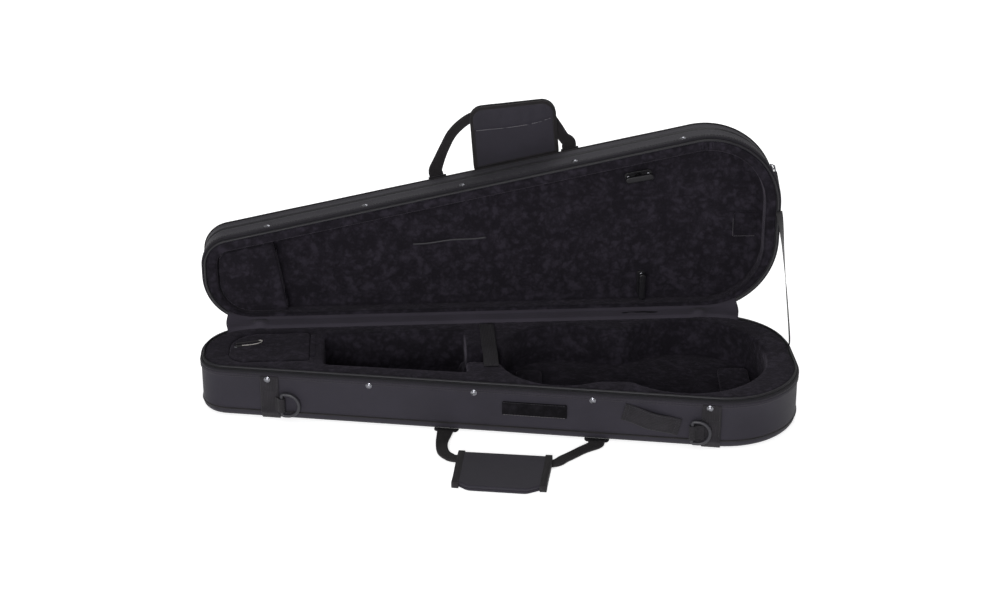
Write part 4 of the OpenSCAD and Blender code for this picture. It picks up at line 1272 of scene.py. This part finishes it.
def pocket_slider():
    """The pocket zip's slider on the wide corner, with a wire ring and a moulded pull."""
    radial = (LID @ Matrix.Translation((*WIDE_CORNER, POCKET_CUT))
              @ Matrix.Rotation(SLIDER_A, 4, "Z") @ Matrix.Translation((WIDE_R, 0, 0))
              @ Matrix(((0, 0, 1, 0), (1, 0, 0, 0), (0, 1, 0, 0), (0, 0, 0, 1))))
    body = Shape(radial)
    shape_line = rounded(mm((-4.8, -2.6, 1.5), (1.5, -4.0, 2), (4.8, -2.8, 1.5),
                            (4.8, 2.8, 1.5), (1.5, 4.0, 2), (-4.8, 2.6, 1.5)), 1 * MM)
    pillow(body, shape_line, 3 * MM, 1 * MM, spacing=2 * MM, round_r=0.6 * MM, crown=0.3 * MM)
    arch = smooth_line(mm((-3.6, 0, 2.6), (-3, 0, 4.2), (0, 0, 5), (3, 0, 4.2), (3.6, 0, 2.6)), 0.8 * MM)
    bar(body, arch, 0.7 * MM, 10, flat=1.8, up=(0, 1, 0))
    piece(body, "pocket_slider_body", "nickel", "pocket_slider", "black_metal", "pocket_slider")

    centre = WIDE_CORNER + (WIDE_R + 6 * MM) * unit(SLIDER_A)
    hang = LID @ Matrix.Translation((*centre, POCKET_CUT)) @ Matrix.Rotation(math.radians(-12), 4, "Z")
    ring = Shape(hang)
    loop = rounded(mm((-0.3, -2.7, 1), (8.6, -2.7, 1), (8.6, 2.7, 1), (-0.3, 2.7, 1)), 0.8 * MM)
    bar(ring, [(0, y, z) for y, z in loop.p], 0.8 * MM, 10, closed=True, up=(1, 0, 0))
    piece(ring, "pocket_pull_wire", "nickel", "pocket_pull", "black_metal", "pocket_pull_ring")

    flat = hang @ Matrix(((0, 0, 1, 0), (1, 0, 0, 0), (0, 1, 0, 0), (0, 0, 0, 1)))
    tab = Shape(flat)
    outline = rounded(mm((8.4, -2.6, 1.5), (16, -4.4, 3), (40.6, -4.0, 2.5), (40.6, 4.0, 2.5),
                       (16, 4.4, 3), (8.4, 2.6, 1.5)), 1.2 * MM)
    pillow(tab, outline, 2.0 * MM, -2.0 * MM, spacing=1.5 * MM, round_r=1.2 * MM,
           lift=lambda x, y, e: -0.5 * MM * min(1, e / MM)
           * (1 if 19 * MM < x < 37 * MM and (x / (3 * MM)) % 1 < 0.35 else 0))
    piece(tab, "pocket_pull_grip", "ring", "pocket_pull", "ring_plastic", "pocket_pull_tab")


lid_outside()
music_pocket()
pocket_slider()


# ------------------------------------------------------------------ lid, inside

def lid_floor(x, y):
    return RECESS_D - 0.2 * MM + 0.7 * MM * noise.noise(Vector((x * 9, y * 9, 12)))


def lid_inside():
    outer = rounded(case_corners(7 * MM), 3 * MM)
    hollow = rounded(case_corners(20 * MM, 11 * MM), 3 * MM)
    shape = Shape(LID)
    lining_edge(shape, outer, False)

    def puff(x, y, e):
        soft = 0.4 * MM * noise.noise(Vector((x * 35, y * 35,
                                              2.0))) + 0.25 * MM * noise.noise(Vector((x * 150, y * 150, 5)))
        return LINING_D - (0.5 * MM + soft) * min(1, e / (5 * MM))

    fill(shape, [outer.p, hollow.moved(4 * MM)], 3.5 * MM, puff)
    basin(shape, hollow, LINING_D, lid_floor, edge_r=4 * MM, foot_r=6 * MM, spacing=4.5 * MM,
          uneven=1.2 * MM, seed=14.0)
    piece(shape, "lid_lining", "plush", "lid", "plush", "lid_border", "lid_floor_lining")

    # Short dark bars of hook pile on the border: painted shade standing in for small grooves.
    groove_shade = Shape(LID)
    for x, reach in ((285, 9), (290, 14), (295, 12), (300.5, 10)):
        top = front_y(min(x, 297) * MM)
        points = smooth_line([((x + 0.5 * k) * MM, top + (9 + reach * k / 3) * MM,
                               LINING_D - (0.3 if 0 < k < 3 else -0.8) * MM)
                              for k in range(4)], 1.5 * MM)
        bar(groove_shade, points, 0.6 * MM, 6)
    piece(groove_shade, "lid_lining_groove_shade", "hook", "lid", "plush")


PAD_X, PAD_Y, PAD_SLANT = -285 * MM, 112 * MM, 0.17


def bow_tip_pad():
    """Raised pad at the narrow end with a pocket for each bow's tip."""
    corners = case_corners(22.5 * MM, 13.5 * MM)
    (x0, y0, r0), _, _, (_, y1, r1) = corners
    right_y = front_y(PAD_X - 17 * MM) + 22.5 * MM / math.cos(WALL_A)
    path = rounded([(x0, y0, r0), (PAD_X + (right_y - PAD_Y) * PAD_SLANT, right_y, 4 * MM),
                    (PAD_X + (y1 - PAD_Y) * PAD_SLANT, y1, 4 * MM), (x0, y1, r1)], 3 * MM)
    pad = Shape(LID)
    pillow(pad, path, 7 * MM, 31.5 * MM, spacing=3.2 * MM, round_r=3.5 * MM, crown=1.0 * MM, reach=15 * MM,
           uneven=0.8 * MM, seed=6.0)
    obj = pad.make("bow_tip_cushion", MAT["plush"])
    for y in (86 * MM, 14 * MM):
        cut = Shape(LID)
        pillow(cut, rounded([(PAD_X - 45 * MM, y + 1.5 * MM, 4 * MM),
                             (PAD_X + 9 * MM, y + 1.5 * MM, 1 * MM), (PAD_X + 9 * MM, y + 15.5 * MM, 1 * MM),
                             (PAD_X - 45 * MM, y + 15.5 * MM, 4 * MM)], 2 * MM), 12.5 * MM, 24.5 * MM,
                             spacing=6 * MM, round_r=3 * MM)
        cutter = cut.make("cutter", MAT["plush"])
        hole = obj.modifiers.new("hole", "BOOLEAN")
        hole.operation, hole.object, hole.solver = "DIFFERENCE", cutter, "EXACT"
        bpy.context.view_layer.update()
        cut_mesh = bpy.data.meshes.new_from_object(obj.evaluated_get(bpy.context.evaluated_depsgraph_get()))
        obj.modifiers.clear()
        obj.data = cut_mesh
        bpy.data.objects.remove(cutter)
    finish_piece(obj, "lid", "plush", "bow_tip_pad")


def lid_details():
    slit = Shape(LID)
    ends = np.array([(-109, 29), (-7, 21)]) * MM
    points = [(*(ends[0] + (ends[1] - ends[0]) * t + (0, 0.8 * MM * math.sin(9 * t))),
               30.3 * MM) for t in np.linspace(0, 1, 40)]
    bar(slit, points, 1.3 * MM, 8, flat=0.5)
    piece(slit, "lid_lining_slit", "thread", "lid", "plush")
    patch, sewn = Shape(LID), Shape(LID)
    x0, x1, y0, y1 = 339.5 * MM, 372.5 * MM, -7.5 * MM, 27.5 * MM
    path = box_path((x0, y0), (x1, y1), 4 * MM)
    pillow(patch, path, 28.6 * MM, 31 * MM, spacing=2.5 * MM, round_r=0.8 * MM, crown=0.8 * MM,
           uneven=0.5 * MM, seed=3.3)
    piece(patch, "lid_hook_patch", "plush", "lid", "plush", "lid_patch")
    for a, b in (((x0 + 1 * MM, y1), (x1 - 1 * MM, y1 + 0.4 * MM)),
                 ((x0 - 0.4 * MM, y0 + 8 * MM), (x0, y1))):
        points = [(*(np.array(a) + (np.array(b) - a) * t), 28.7 * MM) for t in np.linspace(0, 1, 12)]
        stitches(sewn, points, (0, 0, -1), pitch=3.0 * MM, length=2.9 * MM, thick=0.7 * MM)
    piece(sewn, "lid_patch_stitches", "mid_thread", "lid", "plush")


def bow_holders():
    plates, heads = Shape(), Shape()
    for name, p, turn in (("rear", (211.5, 95.3), 90), ("front", (204, -67), math.degrees(WALL_A) + 2)):
        local = (LID @ Matrix.Translation((p[0] * MM, p[1] * MM, 0))
                 @ Matrix.Rotation(math.radians(turn), 4, "Z"))
        plate = Shape(local)
        pillow(plate, rectangle(19 * MM, 6 * MM, 5 * MM, 1.5 * MM), 27.6 * MM, 31 * MM, spacing=2.5 * MM,
               round_r=0.9 * MM)
        plates.add([local @ Vector(q) for q in plate.v], plate.f, plate.uv)
        for s in (-14, 14):
            at = local @ Matrix.Translation((s * MM, 0, 27.7 * MM)) @ Matrix.Rotation(math.pi, 4, "X")
            lathe(heads, mm((0, 1.1), (0.9, 1.0), (1.7, 0.6), (2.2, 0.1), (2.2, -0.4), (0, -0.4)), at, 16)
        spinner = Shape(local)
        pillow(spinner, rectangle(19.8 * MM, 4.9 * MM, 4.4 * MM, 1.2 * MM), 11 * MM, 16 * MM,
               spacing=1.6 * MM, round_r=2.0 * MM, crown=0.3 * MM)
        lathe(spinner, mm((0, 15), (4.6, 15), (4.2, 17), (3.9, 18), (3.9, 29.5), (0, 29.5)),
              Matrix.Identity(4))
        piece(spinner, "bow_holder_" + name, "black_plastic", "bow_spinner_" + name, "ring_plastic",
              "bow_spinner_" + name)
    piece(plates, "bow_holder_plates", "black_plastic", "lid", "ring_plastic", "spinner_plates")
    piece(heads, "bow_holder_rivets", "nickel", "lid", "black_metal", "spinner_rivets")


lid_inside()
bow_tip_pad()
lid_details()
bow_holders()


# ------------------------------------------------------------------ hinge, stay and main sliders

def ribbon_strip(shape, xs, profile, thick):
    """A fabric strip along X with a profile of (y, z) in millimetres, given a thickness."""
    p = smooth_line([(y * MM, z * MM) for y, z in profile], 1.2 * MM)
    t = np.gradient(p, axis=0)
    t /= np.linalg.norm(t, axis=1)[:, None]
    n = np.stack([-t[:, 1], t[:, 0]], 1)
    ring = np.vstack([p + n * thick / 2, (p - n * thick / 2)[::-1]])
    rows = [[(x, y, z) for y, z in ring] for x in xs]
    shape.grid(rows, xs, running(ring), wrap_v=True)
    for row in (rows[0], rows[-1]):
        shape.add(row, [list(range(len(row)))], [(0, 0)] * len(row))


def rear_y(x):
    """The outline's rear side at x, straight between its two rounded corners."""
    for centre, r, way in ((X_LEFT + REAR_LEFT_R, REAR_LEFT_R, -1), (X_RIGHT - WIDE_R, WIDE_R, 1)):
        if (x - centre) * way > 0:
            return Y_BACK - r + math.sqrt(r * r - (x - centre) ** 2)
    return Y_BACK


SLIDER_X = (-324 * MM, 289 * MM)


def inner_hinge_fabric(low, high):
    """Cloth between the two rims along the hinge, running on round the corners as folded gussets."""
    rows, lengths = [], []
    xs = np.linspace(-368, 343, 220) * MM
    count = 22
    half = 0.45 * MM
    for x in xs:
        y = rear_y(x)
        ends = [LID @ Vector((x, y - d * MM, h * MM)) for d, h in ((3.9, -0.5), (7, 3.2))]
        over = max(math.exp(-((x - at) / (9 * MM)) ** 4) for at in SLIDER_X)
        p = [(y - (7 + 2 * over) * MM, BASE_H + (-3.3 + 1.5 * over) * MM),
             (y - (3.9 + 2.4 * over) * MM, BASE_H + (0.5 + 3.2 * over) * MM),
             (ends[0].y, ends[0].z), (ends[1].y, ends[1].z)]
        wave = noise.noise(Vector((x * 28, 0, 2)))
        gap = (Y_BACK - y) / (10 * MM)
        middle = [tuple(np.array(p[1]) * (1 - t) + np.array(p[2]) * t
                        + np.array([-0.3, 1]) * MM * (0.4 * wave + lift * over - 2.2 * gap * fold))
                  for t, lift, fold in ((0.16, 2.2, 0.2), (0.4, 3.2, 1.0), (0.7, 2.4, 0.8))]
        line = smooth_line(p[:2] + middle + p[2:], 1.2 * MM)
        lengths.append(running(line)[-1])
        at = np.linspace(0, len(line) - 1, count)
        line = np.stack([np.interp(at, np.arange(len(line)), line[:, k]) for k in (0, 1)], 1)
        t = np.gradient(line, axis=0)
        n = np.stack([-t[:, 1], t[:, 0]], 1) / np.linalg.norm(t, axis=1)[:, None]
        ring = np.vstack([line + n * half, (line - n * half)[::-1]])
        past = max(0.0, 1 - min(x - xs[0], xs[-1] - x) / (6 * MM))
        way = 1 if x > 0 else -1
        share = np.sin(np.linspace(0, math.pi, count)) ** 2
        rows.append([(x + way * past ** 2 * 2.6 * MM * k, *q) for q, k in zip(ring, [*share, *share[::-1]])])
    inner = Shape()
    inner.grid(rows, xs, running([q[1:] for q in rows[len(rows) // 2]]), wrap_v=True)
    for row in (rows[0], rows[-1]):
        faces = [[k, k + 1, 2 * count - 2 - k, 2 * count - 1 - k] for k in range(count - 1)]
        inner.add(row, faces, [(0, 0)] * len(row))
    obj = bending_piece(inner, "hinge_inner_fabric", "hinge", "cover", ("base", "lid"), low, high)


def hinge():
    xs = np.linspace(-330, 295, 160) * MM
    low, high = Vector((0, 129.5 * MM, 70 * MM)), Vector((0, 136.5 * MM, 73.5 * MM))

    outer = Shape()
    ribbon_strip(outer, xs,
                 [(129.1, 58), (129.3, 66), (130.6, 71.2), (134, 73.4), (139, 73.8), (146, 73.3)], 1.0 * MM)
    obj = bending_piece(outer, "hinge_outer_fabric", "cover", "cover", ("base", "lid"), low, high,
                        "hinge_tape")

    inner_hinge_fabric(low, high)

    # A dark strip of hook pile on the hinge cloth: painted shade where a slot's opening would be.
    marks = Shape()
    xs = np.linspace(181, 232, 30) * MM
    centre = [(x, 130.8 * MM + 0.2 * MM * math.sin(x * 300), 76.9 * MM) for x in xs]
    widths = [3.6 * MM * math.sqrt(max(0.02, 1 - ((x - 206.5 * MM) / (26.5 * MM)) ** 2)) for x in xs]
    strap(marks, centre, np.array(widths), 1.0 * MM, (0, -0.45, 1))
    bending_piece(marks, "hinge_slot_shade", "hook", "cover", ("base", "lid"), low, high)
    sewn = Shape()
    for x0, x1 in ((-243, -224), (-219, -211), (-206, -199), (-194, -186)):
        points = [(x * MM, 129.6 * MM, 76.35 * MM) for x in np.linspace(x0, x1, 6)]
        stitches(sewn, points, (0, -0.4, 1), pitch=4.2 * MM, length=2.6 * MM, thick=0.8 * MM)
    bending_piece(sewn, "hinge_tacking", "light_thread", "cover", ("base", "lid"), low, high)


def stay():
    """Ribbon from the lid's rim to the base's rim: flat above, turned on its edge below."""
    line = smooth_line([(p[0] * MM, p[1] * MM, p[2] * MM) for p in
                        ((397.2, 139.5, 222), (398.8, 136, 214), (399.8, 124, 197), (400.2, 104, 172),
                         (400.2, 80, 143), (400.0, 52, 110), (399.6, 30, 83),
                         (398.4, 23, 74.5), (396.5, 20.5, 71))], 4 * MM)
    count = len(line)
    turn = np.radians(np.interp(np.linspace(0, 1, count), [0, 0.25, 0.6, 1], [52, 24, 6, 3]))
    t = np.gradient(line, axis=0)
    t /= np.linalg.norm(t, axis=1)[:, None]
    out = np.tile([1.0, 0, 0], (count, 1))
    across = np.cross(t, out)
    face = out * np.cos(turn)[:, None] + across * np.sin(turn)[:, None]
    shape = Shape()
    strap(shape, line, 14 * MM, 0.7 * MM, face)
    obj = bending_piece(shape, "lid_stay_ribbon", "ribbon", "ribbon", ("base", "lid"),
                        Vector((0, 40 * MM, 92 * MM)), Vector((0, 132 * MM, 210 * MM)), "stay_ribbon")


def main_sliders():
    for side, x in zip(("left", "right"), SLIDER_X):
        place = Matrix.Translation((x, 125.4 * MM, BASE_H))
        body = Shape(place)
        for top, bottom in ((3.2 * MM, 1.6 * MM), (-0.7 * MM, -2.3 * MM)):
            pillow(body, rounded(mm((-5.8, -3.6, 2), (2, -3.9, 2), (5.8, -2.6, 1.6),
                                    (5.8, 2.6, 1.6), (2, 3.7, 2), (-5.8, 3.4, 2)), 1.2 * MM),
                   top, bottom, spacing=3 * MM, round_r=0.6 * MM)
        bar(body, [(4.6 * MM, y * MM, 0.5 * MM) for y in (-1.5, 0, 1.5)], 1.7 * MM, 12)
        arch = smooth_line(mm((0, 3.2, -1.6), (0, 6.2, -1.4), (0, 8.0, 0.4), (0, 6.2, 2.3), (0, 3.2, 2.6)),
                           0.8 * MM)
        bar(body, arch, 0.8 * MM, 10, flat=1.9, up=(1, 0, 0))
        piece(body, "main_slider_body_" + side, "nickel", "base", "black_metal", "main_slider_" + side)
        pull = Shape(Matrix.Translation((x, Y_BACK + 3.2 * MM,
                                         BASE_H + 0.5 * MM)) @ Matrix.Rotation(math.pi / 2, 4, "X"))
        eye = rounded(mm((-3.5, -7, 1.4), (3.5, -7, 1.4), (3.5, 0.5, 1.4), (-3.5, 0.5, 1.4)), 0.8 * MM)
        bar(pull, [(a, b, 0) for a, b in eye.p], 0.75 * MM, 10, closed=True)
        blade = rounded(mm((-3.4, -22, 2.6), (3.4, -22, 2.6), (4.2, -6, 1.2), (-4.2, -6, 1.2)), 1 * MM)
        pillow(pull, blade, 0.75 * MM, -0.75 * MM, spacing=2 * MM, round_r=0.4 * MM)
        piece(pull, "main_pull_blade_" + side, "nickel", "main_pull_" + side, "black_metal",
              "main_pull_" + side)


hinge()
stay()
main_sliders()


# ------------------------------------------------------------------ stage, light and camera

def area_light(name, at, aim, size, power):
    data = bpy.data.lights.new(name, "AREA")
    data.shape, data.size, data.energy = "DISK", size, power
    lamp = bpy.data.objects.new(name, data)
    lamp.location = at
    lamp.rotation_euler = (Vector(aim) - Vector(at)).to_track_quat("-Z", "Y").to_euler()
    bpy.context.scene.collection.objects.link(lamp)


def studio():
    scene = bpy.context.scene
    floor = Shape()
    r = 14.0
    floor.add([(-r, -r, 0), (r, -r, 0), (r, r, 0), (-r, r, 0)], [[0, 1, 2, 3]],
              [(0, 0), (1, 0), (1, 1), (0, 1)])
    pale = Nodes("studio_floor", (0.8, 0.8, 0.805), 0.8, Emission_Color=(1, 1, 1, 1), Emission_Strength=0.6)
    floor.make("studio_floor", pale.mat)
    world = scene.world or bpy.data.worlds.new("studio")
    scene.world = world
    world.use_nodes = True
    sky = world.node_tree.nodes["Background"]
    sky.inputs["Color"].default_value = (1, 1, 1, 1)
    sky.inputs["Strength"].default_value = 0.44
    area_light("key", (-0.9, -3.6, 1.35), (0, 0, 0.14), 1.8, 125)
    area_light("back", (0.5, 2.3, 2.8), (0, 0.05, 0.1), 1.8, 48)
    scene.view_settings.view_transform = "Standard"

    lens = bpy.data.cameras.new("camera")
    lens.lens, lens.sensor_width = 73.5, 36
    camera = bpy.data.objects.new("camera", lens)
    camera.location = (-0.1431, -2.4399, 1.3159)
    aim = Vector((0.0067, 0.0743, 0.1285))
    camera.rotation_euler = (aim - camera.location).to_track_quat("-Z", "Y").to_euler()
    scene.collection.objects.link(camera)
    scene.camera = camera


studio()
